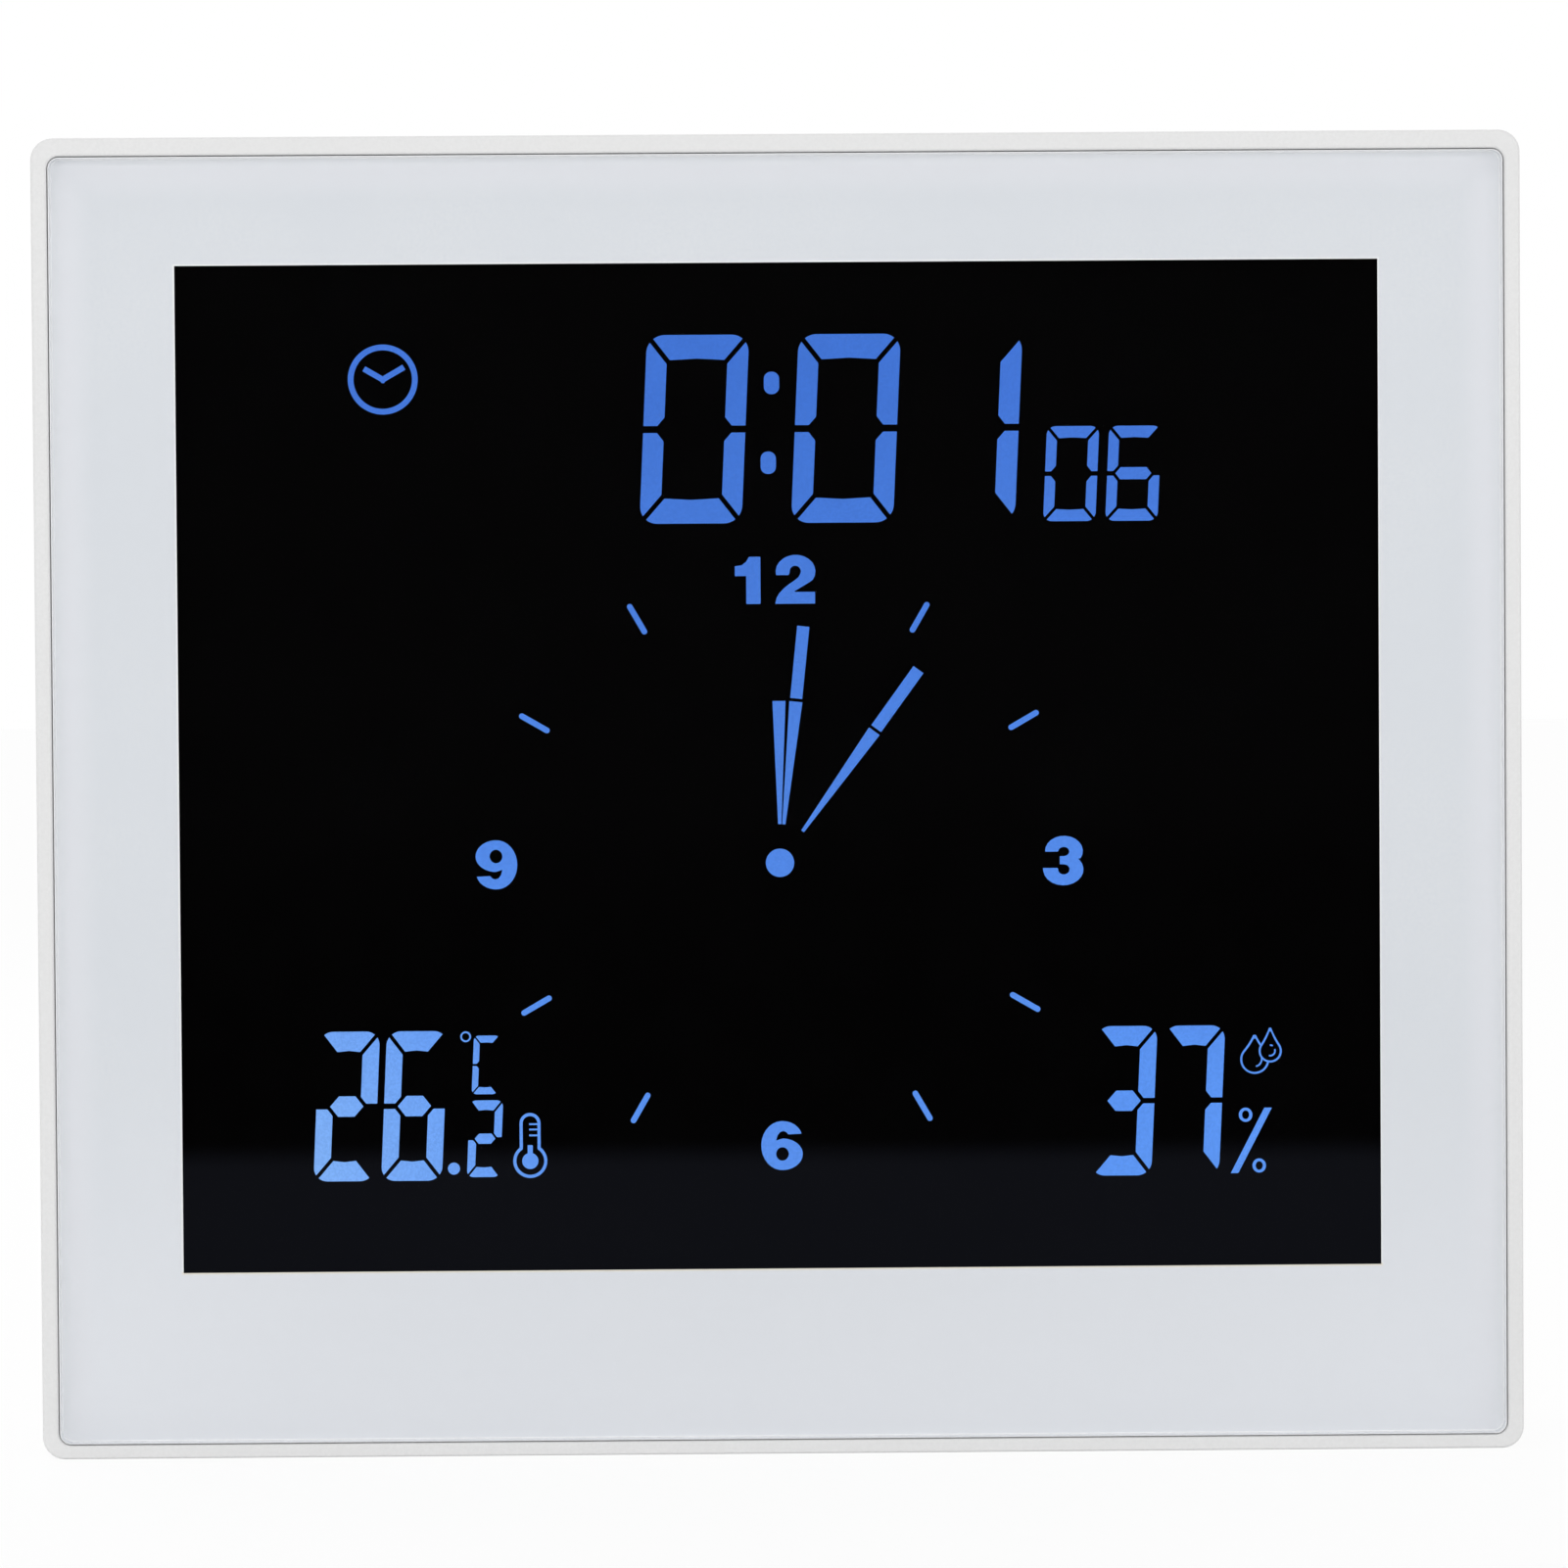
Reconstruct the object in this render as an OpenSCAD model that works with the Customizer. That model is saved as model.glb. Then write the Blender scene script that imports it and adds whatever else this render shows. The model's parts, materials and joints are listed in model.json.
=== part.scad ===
// Digital alarm clock: a free-standing table clock with a white case, a printed lens over
// a large dark display, and a rear cover with keys, a battery bay and a fold-out stand.
// Millimetres. X runs to the right seen from the front, Y to the back, Z up, base at Z = 0.

/* [Front] */
// Width of the dark window in the lens print
window_w = 109.5; // [98:0.5:125]
// Height of the dark window in the lens print
window_h = 91.8; // [84:0.2:105]
// Case beside the window, on each side
border_side = 12.75; // [12:0.25:20]
// Case above the window
border_top = 11.5; // [9:0.1:16]
// Case below the window
border_bottom = 16.7; // [14:0.1:24]
// Corner radius of the case seen from the front
corner_r = 2; // [1:0.1:4]
// Width of the rim around the lens
rim_w = 1.45; // [1:0.05:1.6]
// Gap between the rim and the lens
lens_gap = 0.1; // [0.05:0.05:0.5]
// How far the lens and its opening lie below the middle of the case
lens_drop = 0.2; // [0:0.05:0.4]
// Corner radius of the lens
lens_r = 1; // [0.5:0.1:2]
// Thickness of the lens
lens_t = 2; // [1.5:0.1:3]
// How far the lens lies below the rim
lens_recess = 0.1; // [0:0.05:0.5]

/* [Case] */
// Wall thickness of both halves of the case
wall = 1.8; // [1.5:0.1:2.2]
// Depth of the front half, up to the joint line
front_half_d = 9; // [8:0.5:10]
// Rounding of the edges of the back
back_r = 3; // [1:0.1:3.5]
// Reach of the rear cover's lip into the front half
lip_h = 1.6; // [1:0.1:2.5]
// Thickness of the lip
lip_t = 0.9; // [0.6:0.1:1.2]
// Play between pieces that fit into each other
fit_gap = 0.15; // [0.1:0.05:0.25]

/* [Display stack] */
// Thickness of the white print film
print_t = 0.1; // [0.05:0.05:0.2]
// Thickness of the lens tape
tape_t = 0.2; // [0.1:0.05:0.5]
// Thickness of the panel that carries the lens
panel_t = 1.5; // [1.2:0.1:2]
// Thickness of each glass plate
glass_t = 1.1; // [0.7:0.1:1.5]
// Space between the two glass plates
cell_gap = 0.1; // [0.05:0.05:0.2]
// Thickness of each film: polarisers, diffuser and reflector
film_t = 0.2; // [0.1:0.05:0.3]
// Glass on each side of the window
glass_side = 3.75; // [3:0.25:4.5]
// Glass above the window
glass_head = 3; // [2.5:0.25:3.5]
// Rear glass below the window
glass_foot = 4.6; // [4.4:0.1:5]
// Contact ledge of the front glass, below the rear glass
ledge_h = 4.5; // [4:0.1:5]
// Thickness of the light guide
guide_t = 3; // [2:0.1:4]
// Light guide beyond the window on each side
guide_margin = 1.5; // [1:0.1:1.6]
// Side walls of the backlight tray
tray_wall = 1.4; // [1:0.1:1.6]
// Floor of the backlight tray
tray_t = 1; // [0.8:0.1:1.5]
// Thickness of the zebra contact strip
zebra_t = 2.4; // [1.8:0.1:2.6]
// Number of backlight lamps
lamp_count = 8; // [4:1:10]

/* [Shown on the display] */
// Hour
shown_hour = 0; // [0:1:9]
// Minute
shown_minute = 1; // [0:1:59]
// Second
shown_second = 6; // [0:1:59]
// Whole degrees
shown_degrees = 26; // [10:1:50]
// Tenths of a degree
shown_tenths = 2; // [0:1:9]
// Humidity in percent
shown_humidity = 37; // [20:1:95]

/* [Display figures] */
// Lean of the figures to the right, in degrees
slant = 2.7; // [0:0.1:6]
// Height of the time figures
time_h = 17.25; // [15:0.05:17.5]
// Width of the time figures
time_figure_w = 9.35; // [8:0.05:10]
// Upright stroke of the time figures
time_stroke = 1.9; // [1.2:0.1:2.2]
// Level stroke of the time figures
time_bar = 2.3; // [1.5:0.1:2.6]
// Gap between the strokes of the time figures
time_split = 0.45; // [0.3:0.05:0.6]
// Height of the seconds figures
seconds_h = 8.7; // [7:0.1:9.5]
// Height of the temperature and humidity figures
readout_h = 13.75; // [12:0.05:14.5]
// Radius of the ring of hour marks
dial_r = 26; // [23:0.1:27]
// Height of the hour numerals
numeral_h = 4.5; // [3.5:0.1:5]
// Diameter of the dial's centre dot
dial_dot_d = 2.6; // [2:0.1:3.5]
// Outer radius of the clock sign
sign_r = 3.2; // [2.5:0.1:4]

/* [Board] */
// Thickness of the circuit board
board_t = 1.6; // [1:0.1:2]
// Space between the board and the battery bay
board_room = 0.6; // [0.4:0.1:2]
// Side of a key switch
switch_w = 6; // [5:0.5:6.5]
// Height of a key switch's body
switch_h = 3.5; // [3:0.1:4.5]
// Radius of a switch stem
stem_r = 1.7; // [1.2:0.1:2]
// Height of a switch stem above its body
stem_h = 3.8; // [2:0.1:5]
// Running gap round a switch stem
stem_gap = 0.05; // [0.03:0.01:0.1]
// Diameter of the buzzer
buzzer_d = 12; // [9:0.5:14]
// Height of the buzzer
buzzer_h = 8.5; // [5:0.5:10]
// Width of the power socket
usb_w = 8.94; // [8.5:0.01:9.5]
// Thickness of the power socket
usb_t = 3.2; // [3:0.1:3.5]
// Length of the power socket
usb_l = 7.3; // [6.5:0.1:9]
// Height of the power socket above the base
usb_z = 24; // [16:1:28]

/* [Battery bay] */
// Diameter of a cell
cell_d = 10.5; // [10:0.1:14.5]
// Length of a cell
cell_l = 44.5; // [40:0.5:50.5]
// Gap between neighbouring cells
cell_play = 0.4; // [0.2:0.1:0.8]
// Length of a battery spring under load
spring_l = 4; // [3.5:0.1:5]
// Wire diameter of the battery springs
spring_wire = 0.5; // [0.3:0.05:0.55]
// Turns of a battery spring
spring_turns = 3; // [2:1:3]
// Thickness of a battery contact
contact_t = 0.4; // [0.2:0.1:0.6]
// Walls of the bay
bay_wall = 1.8; // [1.6:0.1:2.4]
// Floor of the bay
bay_floor_t = 1.2; // [1:0.1:2]
// Thickness of the battery door
door_t = 1.6; // [1.4:0.1:2]
// Room between the cells and the door
door_room = 1.5; // [1.2:0.1:3]
// Seat of the door on the bay's walls
door_ledge = 1.3; // [1:0.1:1.4]
// Gap round the door
door_gap = 0.2; // [0.15:0.05:0.3]
// Width of a door tab
tab_w = 8; // [5:0.5:10]
// Reach of a door tab under the cover
tab_reach = 1.8; // [1.2:0.1:2]
// Thickness of a door tab
tab_t = 1.2; // [1:0.1:1.4]
// Width of the door latch
latch_w = 12; // [8:0.5:16]
// Height of the door latch's finger pad
latch_h = 5.5; // [4:0.1:7]

/* [Keys] */
// Width of a rear key
key_w = 9; // [7:0.5:11]
// Height of a rear key
key_h = 5; // [4:0.1:6]
// Distance between the rear keys
key_pitch = 15; // [14:0.5:16]
// Height of the keys above the back
key_proud = 0.8; // [0.3:0.1:1.5]
// Travel of the keys
key_travel = 0.4; // [0.2:0.05:0.8]
// Distance of the row of keys from the top
key_drop = 10.5; // [9.5:0.1:12]
// Rim that keeps a key inside the cover
key_flange = 1; // [0.8:0.1:1.4]
// Width of the snooze bar
snooze_w = 44; // [30:1:60]
// Depth of the snooze bar
snooze_d = 9; // [7:0.5:10]
// Height of the snooze bar above the top
snooze_proud = 0.6; // [0.3:0.1:1.2]

/* [Stand] */
// Width of the stand's leg
leg_w = 44; // [36:1:52]
// Thickness of the leg
leg_t = 3; // [2.4:0.1:3.6]
// Gap round the leg
leg_gap = 0.3; // [0.2:0.05:0.5]
// How far the folded leg lies below the back
leg_sink = 0.2; // [0:0.1:0.5]
// Angle of the open leg, in degrees
stand_open = 30; // [20:1:40]
// Radius of the hinge pin
pin_r = 1; // [0.8:0.1:1.4]
// Running gap round the hinge pin
pin_gap = 0.05; // [0.02:0.01:0.1]
// Leg material round the pin
knuckle_wall = 1.15; // [1:0.05:1.5]
// Back cover left between the bay and the stand
stand_band = 5.5; // [4:0.1:8]
// Height of the folded foot above the base
foot_z = 1; // [0.8:0.1:2]
// Height of the rubber foot
foot_h = 1.2; // [0.8:0.1:2]
// Radius of the finger notch beside the leg
notch_r = 8; // [6:0.5:10]

/* [Screws] */
// Shank radius of the case screws
screw_r = 1; // [0.8:0.05:1.2]
// Length of the case screws
screw_l = 12; // [9:0.5:13]
// Head radius of the case screws
screw_head_r = 2; // [1.8:0.1:2.2]
// Head height of the screws
screw_head_h = 1.5; // [1.2:0.1:1.8]
// Depth of the wells that the case screws sit in
well_d = 8; // [5:0.5:10]
// Shank radius of the board screws
board_screw_r = 0.9; // [0.7:0.05:1]
// Length of the board screws
board_screw_l = 6; // [5:0.5:7]
// Running gap round a screw
screw_gap = 0.05; // [0.03:0.01:0.1]

/* [Hidden] */
$fn = 48;
// Overlap of joined shapes, and of cuts past a surface
lap = 0.5;

// Overall sizes
case_w = window_w + 2 * border_side;
case_h = border_bottom + window_h + border_top;
window_z = border_bottom + window_h / 2;

// Depths behind the front, from the lens to the back
lens_back = lens_recess + lens_t;
print_back = lens_back + print_t;
panel_front = print_back + tape_t;
panel_back = panel_front + panel_t;
figure_front = panel_back + glass_t;
figure_back = figure_front + cell_gap;
rear_glass_back = figure_back + glass_t;
polariser_back = rear_glass_back + film_t;
guide_front = polariser_back + film_t;
guide_back = guide_front + guide_t;
tray_floor = guide_back + film_t;
board_front = tray_floor + tray_t;
board_back = board_front + board_t;
bay_floor = board_back + board_room + bay_floor_t;
cell_rest = 0.2;
cell_axis = bay_floor + cell_rest + cell_d / 2;
case_d = cell_axis + cell_d / 2 + door_room + door_t;
front_y = -(case_d + key_proud) / 2;

// Openings and outlines round the display
view_margin = 0.8;
view_w = window_w + 2 * view_margin;
view_h = window_h + 2 * view_margin;
film_gap = 0.1;
tape_inset = 0.6;
tape_margin = 1.2;
glass_w = window_w + 2 * glass_side;
glass_top = border_bottom + window_h + glass_head;
rear_glass_low = border_bottom - glass_foot;
glass_low = rear_glass_low - ledge_h;
seal_inset = 0.4;
seal_w = 1.2;
guide_w = window_w + 2 * guide_margin;
guide_h = window_h + 2 * guide_margin;
guide_low = border_bottom - guide_margin;
lamp_gap = 0.1;
lamp_h = 1.2;
lamp_w = 3;
lamp_inset = 0.2;
lamp_board_t = 0.8;
lamp_board_inset = 2;
lamp_strip = lamp_gap + lamp_h + lamp_board_t + lamp_gap;
tray_gap = 0.15;
tray_in_w = guide_w + 2 * tray_gap;
tray_in_low = guide_low - lamp_strip;
tray_in_top = guide_low + guide_h + tray_gap;
zebra_z = (glass_low + tray_in_low - tray_wall) / 2;

// Bosses, posts and screws
post_r = 2.4;
boss_r = 2.6;
screw_room = 0.3;
well_gap = 0.4;
well_r = screw_head_r + well_gap;
tube_wall = 1;
tube_r = well_r + tube_wall;
tube_bite = 0.2;
lip_inner = wall + fit_gap + lip_t;
lip_clear = 0.35;
lip_root = 1.2;
board_edge = lip_inner + lip_clear;
post_inset = board_edge + post_r;
screw_inset = wall + tube_r - tube_bite;
corner_gap = 0.3;
corner_zone = screw_inset + tube_r + corner_gap;
screw_spots = [for (x = [-1, 1], z = [screw_inset, case_h - screw_inset])
    [x * (case_w / 2 - screw_inset), z]];
post_gap = 3.1;
post_low = usb_z + usb_w / 2 + post_gap + post_r;
post_spots = [for (x = [-1, 1], z = [post_low, case_h - post_low])
    [x * (case_w / 2 - post_inset), z]];
board_head_r = 2 * board_screw_r + 0.2;

// Parts on the board, in X and Z
blob_spot = [-10, 46];
crystal_spot = [7, 42];
capacitor_spots = [[18, 50], [26, 50]];
chip_spot = [-18, 32];
chip_pitch = [4, 3.5];
side_part_inset = 22.5;
side_part_z = 36;
buzzer_spot = [side_part_inset - case_w / 2, side_part_z];
vent_spot = [case_w / 2 - side_part_inset, side_part_z];
sensor_rise = 4;
thermistor_drop = 8;

// Power socket
usb_sink = 0.8;
usb_mouth = case_w / 2 - usb_sink;
usb_shell_t = 0.3;
usb_back_t = 1;
tongue_t = 0.7;
tongue_w = usb_w - 2.25;
tongue_sink = 0.8;

// Rear cover, from the keys down to the stand
key_count = 6;
key_z = case_h - key_drop;
key_seat = case_d - wall - fit_gap;
key_flange_t = 1;
stem_end = board_back + switch_h + stem_h;
snooze_axis = (front_half_d + case_d) / 2;
snooze_seat = case_h - wall - fit_gap;
snooze_stem_axis = board_back + switch_w / 2;
snooze_switch_drop = 9;
snooze_switch_top = case_h - snooze_switch_drop;
snooze_stem_h = 3;
snooze_stem_top = snooze_switch_top + snooze_stem_h;
cell_count = 3;
cell_pitch = cell_d + cell_play;
end_play = 0.3;
bay_h = cell_count * cell_pitch + cell_play;
bay_l = cell_l + spring_l + 2 * contact_t + end_play;
key_room = 0.6;
bay_top = key_z - key_h / 2 - key_flange - key_room - bay_wall;
bay_z = bay_top - bay_h / 2;
bay_low = bay_top - bay_h;
door_w = bay_l + 2 * door_ledge;
door_h = bay_h + 2 * door_ledge;
door_low = bay_z - door_h / 2;
door_top = bay_z + door_h / 2;
door_seat = 0.1;
tab_x = bay_l / 4;
tab_face = case_d - wall - door_gap;
// Room behind a tab for its swing
tab_swing = 1.5;
latch_nib = 1;

// Stand
knuckle_r = pin_r + pin_gap + knuckle_wall;
heel = 0.9 * knuckle_r;
heel_gap = 0.1;
heel_room = heel * sqrt(2) * sin(45 + stand_open) + heel_gap;
leg_face = case_d - leg_sink;
stand_axis = leg_face - knuckle_r;
stand_z = bay_low - bay_wall - stand_band - heel_room;
trough_r = knuckle_r + leg_gap;
recess_d = leg_sink + leg_t + leg_gap;
recess_w = leg_w + 2 * leg_gap;
recess_top = stand_z + heel_room;
leg_low = foot_z + foot_h;
notch_rise = 17;
notch_z = foot_z + notch_rise;
foot_inset = [4, 0.4];
pin_sink = 0.2;
pin_l = recess_w + 2 * (wall - pin_sink);

// Display layout, from the centre of the window
time_base = 22.25;
hour_x = -12.66;
minute_tens_x = 1.22;
minute_ones_x = 12.37;
seconds_x = [24.32, 30.02];
colon_x = -1.09;
colon_w = 1.4;
colon_h = 2.05;
colon_r = 0.66;
dial_z = -8.9;
sign_spot = [-36.05, 35.6];
sign_line = 0.52;
// Turn and length of the sign's two hands
sign_hands = [[60, 0.7 * sign_r], [-60, 0.78 * sign_r]];

// Hour marks and hands: the hands have an inner and an outer bar
tick_inset = 0.1;
tick_l = 3.15;
tick_w = 0.52;
hand_root = 3.55;
hand_split = 14.85;
hand_gap = 0.3;
hand_tip = 21.8;
hand_root_w = 0.3;
hand_split_w = 1.2;
hand_outer_w = 1.1;
hand_tip_w = 1.12;

// Temperature readout: heights are from the readout's base
readout_base = -37.88;
degrees_x = [-43.03, -36.82];
point_spot = [-30.13, 1.09];
point_r = 0.55;
tenths_spot = [-28.95, 0.3];
tenths_w = 3.05;
tenths_h = 7.05;
tenths_stroke = 0.72;
tenths_bar = 0.93;
tenths_split = 0.2;
degree_spot = [-28.96, 13.21];
degree_r = 0.49;
degree_hole_r = 0.34;
letter_spot = [-28.45, 7.92];
letter_w = 2.38;
letter_h = 5.38;
letter_stroke = 0.55;
letter_bar = 0.66;
letter_split = 0.14;
bulb_spot = [-23.12, 1.74];
bulb_r = 1.56;
bulb_core_r = 0.74;
bulb_line = 0.28;
stem_half_w = 0.96;
stem_top = 3.46;
column_w = 0.46;
column_h = 1.45;
level_h = 0.15;
// Reach of the level marks past the middle of the stem
level_reach = 0.08;
level_rises = [2.28, 2.82, 3.31];

// Humidity readout
humidity_x = [28.36, 34.59];
percent_spot = [41.26, 0.14];
percent_w = 0.68;
percent_h = 6;
percent_lean = 3.11;
percent_ring_spots = [[42.64, 5.5], [43.87, 0.82]];
// Half width and half height of a percent ring and of its hole
percent_ring = [0.62, 0.65];
percent_hole = [0.33, 0.4];
big_drop = [43.5, 10.59];
big_drop_r = 1.33;
big_drop_point = 2.25;
small_drop = [44.93, 11.36];
small_drop_r = 1.06;
small_drop_point = 2.13;
drop_line = 0.17;
// Glints in the drops: inner and outer radius, and the turns between them
big_glint = [0.57, 0.71, -80, 12];
small_glints = [[0.37, 0.51, -105, 22], [0.46, 0.6, 64, 92]];

// Shared shapes

// An outline drawn in X and Z, made solid between two depths behind the front
module slab(from, to) {
    translate([0, front_y + to, 0])
        rotate([90, 0, 0])
            linear_extrude(to - from) children();
}

// A box between two depths, centred on a spot in X and Z
module block(w, h, from, to, x = 0, z = 0) {
    translate([x - w / 2, front_y + from, z - h / 2])
        cube([w, to - from, h]);
}

// A round rod that runs from front to back
module rod(r, from, to, x = 0, z = 0) {
    translate([x, front_y + from, z])
        rotate([-90, 0, 0])
            cylinder(r = r, h = to - from);
}

// A round rod that runs from left to right
module cross_rod(r, from, to, depth, z) {
    translate([from, front_y + depth, z])
        rotate([0, 90, 0])
            cylinder(r = r, h = to - from);
}

// A rectangle with round corners, centred
module round_rect(w, h, r) {
    square([w - 2 * r, h], center = true);
    square([w, h - 2 * r], center = true);
    for (x = [-1, 1], z = [-1, 1])
        translate([x * (w / 2 - r), z * (h / 2 - r)])
            circle(r);
}

// A bar with round ends, centred
module pill(w, h) {
    square([w - h, h], center = true);
    for (x = [-1, 1])
        translate([x * (w - h) / 2, 0])
            circle(h / 2);
}

// The case outline, drawn in by a distance
module case_outline(inset, r) {
    translate([0, case_h / 2])
        round_rect(case_w - 2 * inset, case_h - 2 * inset, r);
}

// The same for what lies in the opening of the front
module lens_outline(inset, r) {
    translate([0, -lens_drop])
        case_outline(inset, r);
}

// A flat frame: an outer rectangle with a rectangular opening
module frame_outline(outer_w, outer_h, inner_w, inner_h, outer_z, inner_z) {
    difference() {
        translate([0, outer_z])
            square([outer_w, outer_h], center = true);
        translate([0, inner_z])
            square([inner_w, inner_h], center = true);
    }
}

// A pan-head screw that enters from the back, with a cross cut in its head
module screw(r, length, head_r, head_h, seat, spot) {
    difference() {
        union() {
            rod(r, seat - length, seat + lap, spot.x, spot.y);
            rod(head_r, seat, seat + head_h, spot.x, spot.y);
        }
        for (size = [[head_r * 1.2, head_r * 0.3], [head_r * 0.3, head_r * 1.2]])
            block(size.x, size.y, seat + head_h * 0.4, seat + head_h + lap, spot.x, spot.y);
    }
}

// Seven-segment figures

// Where a line first meets a circle
function line_on_circle(p, v, c, r) =
    let (q = p - c, a = v * v, b = q * v)
    p + v * (-b - sqrt(b * b - a * (q * q - r * r))) / a;

// Points along an arc
function arc(c, rx, ry, from, to, steps) =
    [for (i = [0 : steps]) let (a = from + (to - from) * i / steps) c + [rx * cos(a), ry * sin(a)]];

function reversed(points) = [for (i = [len(points) - 1 : -1 : 0]) points[i]];
function flip_x(points, w) = [for (p = points) [w - p.x, p.y]];
function flip_z(points, h) = [for (p = points) [p.x, h - p.y]];

// Slope of the pointed ends of a figure's middle bar
point_slope = 0.82;

// Top bar of a figure: w and h of the figure, upright stroke s, level stroke b, gap g
function top_bar(w, h, s, b, g) =
    let (shift = g / 2 * norm([s, b]) / b, r = 0.85 * s, c = [r, h - r])
    let (tip = line_on_circle([shift, h], [s, -b], c, r), turn = atan2(tip.y - c.y, tip.x - c.x))
    let (left = arc(c, r, r, turn, 90, 4))
    concat(left, reversed(flip_x(left, w)),
        [[w - s - shift, h - b], [w / 2, h - 0.94 * b], [s + shift, h - b]]);

// Upper left upright of a figure
function upright(w, h, s, b, g) =
    let (drop = g / 2 * norm([s, b]) / s, r = 0.85 * s, c = [r, h - r])
    let (tip = line_on_circle([0, h - drop], [s, -b], c, r), turn = atan2(tip.y - c.y, tip.x - c.x))
    let (reach = s - 0.7 * g - g * norm([point_slope, 1]), half_gap = 0.72 * g)
    concat(arc(c, r, r, turn, 180, 4),
        [[0, h / 2 + half_gap], [reach + point_slope * half_gap, h / 2 + half_gap],
        [s, h / 2 + (s - reach) / point_slope], [s, h - b - drop]]);

// Middle bar of a figure
function middle_bar(w, h, s, b, g) =
    let (tip = s - 0.7 * g, slope = point_slope * b / 2)
    [[tip, h / 2], [tip + slope, h / 2 + b / 2], [w - tip - slope, h / 2 + b / 2],
    [w - tip, h / 2], [w - tip - slope, h / 2 - b / 2], [tip + slope, h / 2 - b / 2]];

// One stroke of a figure: 0 top, 1 and 2 right, 3 bottom, 4 and 5 left, 6 middle
function stroke(k, w, h, s, b, g) =
    k == 0 ? top_bar(w, h, s, b, g) :
    k == 1 ? flip_x(upright(w, h, s, b, g), w) :
    k == 2 ? flip_z(flip_x(upright(w, h, s, b, g), w), h) :
    k == 3 ? flip_z(top_bar(w, h, s, b, g), h) :
    k == 4 ? flip_z(upright(w, h, s, b, g), h) :
    k == 5 ? upright(w, h, s, b, g) :
    middle_bar(w, h, s, b, g);

// Strokes that are lit for each figure from 0 to 9, and for the letter C
lit = [[0, 1, 2, 3, 4, 5], [1, 2], [0, 1, 3, 4, 6], [0, 1, 2, 3, 6], [1, 2, 5, 6], [0, 2, 3, 5, 6],
    [0, 2, 3, 4, 5, 6], [0, 1, 2], [0, 1, 2, 3, 4, 5, 6], [0, 1, 2, 3, 5, 6], [0, 3, 4, 5]];
letter_c = 10;

function leaned(points) = [for (p = points) [p.x + p.y * tan(slant), p.y]];

module figure(n, w, h, s, b, g) {
    for (k = lit[n])
        polygon(leaned(stroke(k, w, h, s, b, g)));
}

module time_figure(n, x) {
    translate([x, time_base])
        figure(n, time_figure_w, time_h, time_stroke, time_bar, time_split);
}

module seconds_figure(n, x) {
    translate([x, time_base])
        figure(n, 0.55 * seconds_h, seconds_h, 0.11 * seconds_h, 0.127 * seconds_h, 0.034 * seconds_h);
}

module readout_figure(n, x) {
    translate([x, readout_base])
        figure(n, 0.405 * readout_h, readout_h, 0.11 * readout_h, 0.136 * readout_h, 0.026 * readout_h);
}

// What the display shows, as one layer between its glass plates
module display_layer() {
    slab(figure_front, figure_back)
        translate([0, window_z])
            children();
}

// Hour numerals, drawn in units of their height with the middle of the base at the origin

module numeral_one() {
    polygon([[-0.03, 0], [0.26, 0], [0.26, 0.96], [0.03, 0.96], [-0.03, 0.86], [-0.12, 0.79],
        [-0.26, 0.77], [-0.26, 0.57], [-0.03, 0.57]]);
}

module numeral_two() {
    polygon(concat(
        arc([0.006, 0.655], 0.405, 0.34, 192, -30, 14),
        [[0.26, 0.42], [0.1, 0.325], [-0.02, 0.255], [0, 0.24], [0.4, 0.24], [0.4, 0], [-0.41, 0],
        [-0.385, 0.115], [-0.33, 0.215], [-0.235, 0.315], [-0.12, 0.405], [0, 0.485], [0.07, 0.545]],
        arc([0, 0.66], 0.115, 0.115, -25, 190, 9),
        [[-0.135, 0.585]]));
}

module numeral_three() {
    polygon(concat(
        arc([0.015, 0.7], 0.385, 0.31, 182, -28, 13),
        [[0.29, 0.535]],
        arc([0, 0.325], 0.41, 0.325, 38, -174, 13),
        [[-0.415, 0.355], [-0.125, 0.355]],
        arc([0.01, 0.325], 0.12, 0.105, 170, 450, 10),
        [[-0.07, 0.43], [-0.07, 0.595]],
        arc([0.01, 0.69], 0.115, 0.095, -90, 180, 10)));
}

module numeral_six() {
    difference() {
        polygon(concat(
            arc([0.015, 0.66], 0.4, 0.34, 14, 86, 6),
            arc([0, 0.5], 0.422, 0.5, 92, 262, 14),
            arc([0.01, 0.33], 0.415, 0.33, -85, 0, 7),
            arc([0.01, 0.33], 0.415, 0.315, 10, 88, 7),
            [[-0.033, 0.629], [-0.118, 0.604], [-0.09, 0.711], [-0.033, 0.782], [0.033, 0.8],
            [0.089, 0.778], [0.133, 0.73]]));
        translate([0.01, 0.33])
            oval([0.13, 0.138]);
    }
}

// An oval by its half width and half height
module oval(radii) {
    polygon(arc([0, 0], radii.x, radii.y, 0, 350, 35));
}

// A drop with a round foot and a narrow top above it
module drop(r, point) {
    join = r * [cos(drop_turn), sin(drop_turn)];
    tip = 0.09 * r;
    side = [for (i = [0 : 5]) let (t = i / 6)
        [tip + (join.x - tip) * t * (0.7 + 0.3 * t), point + (join.y - point) * t]];
    polygon(concat(side, arc([0, 0], r, r, drop_turn, -180 - drop_turn, 20), reversed(flip_x(side, 0))));
}

// Turn at which the side of a drop meets its round foot
drop_turn = 35;

module drop_ring(r, point, line) {
    difference() {
        drop(r, point);
        drop(r - line, point - 2 * line);
    }
}

module ring(outer, inner) {
    difference() {
        circle(outer);
        circle(inner);
    }
}

// Front of the clock

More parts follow.
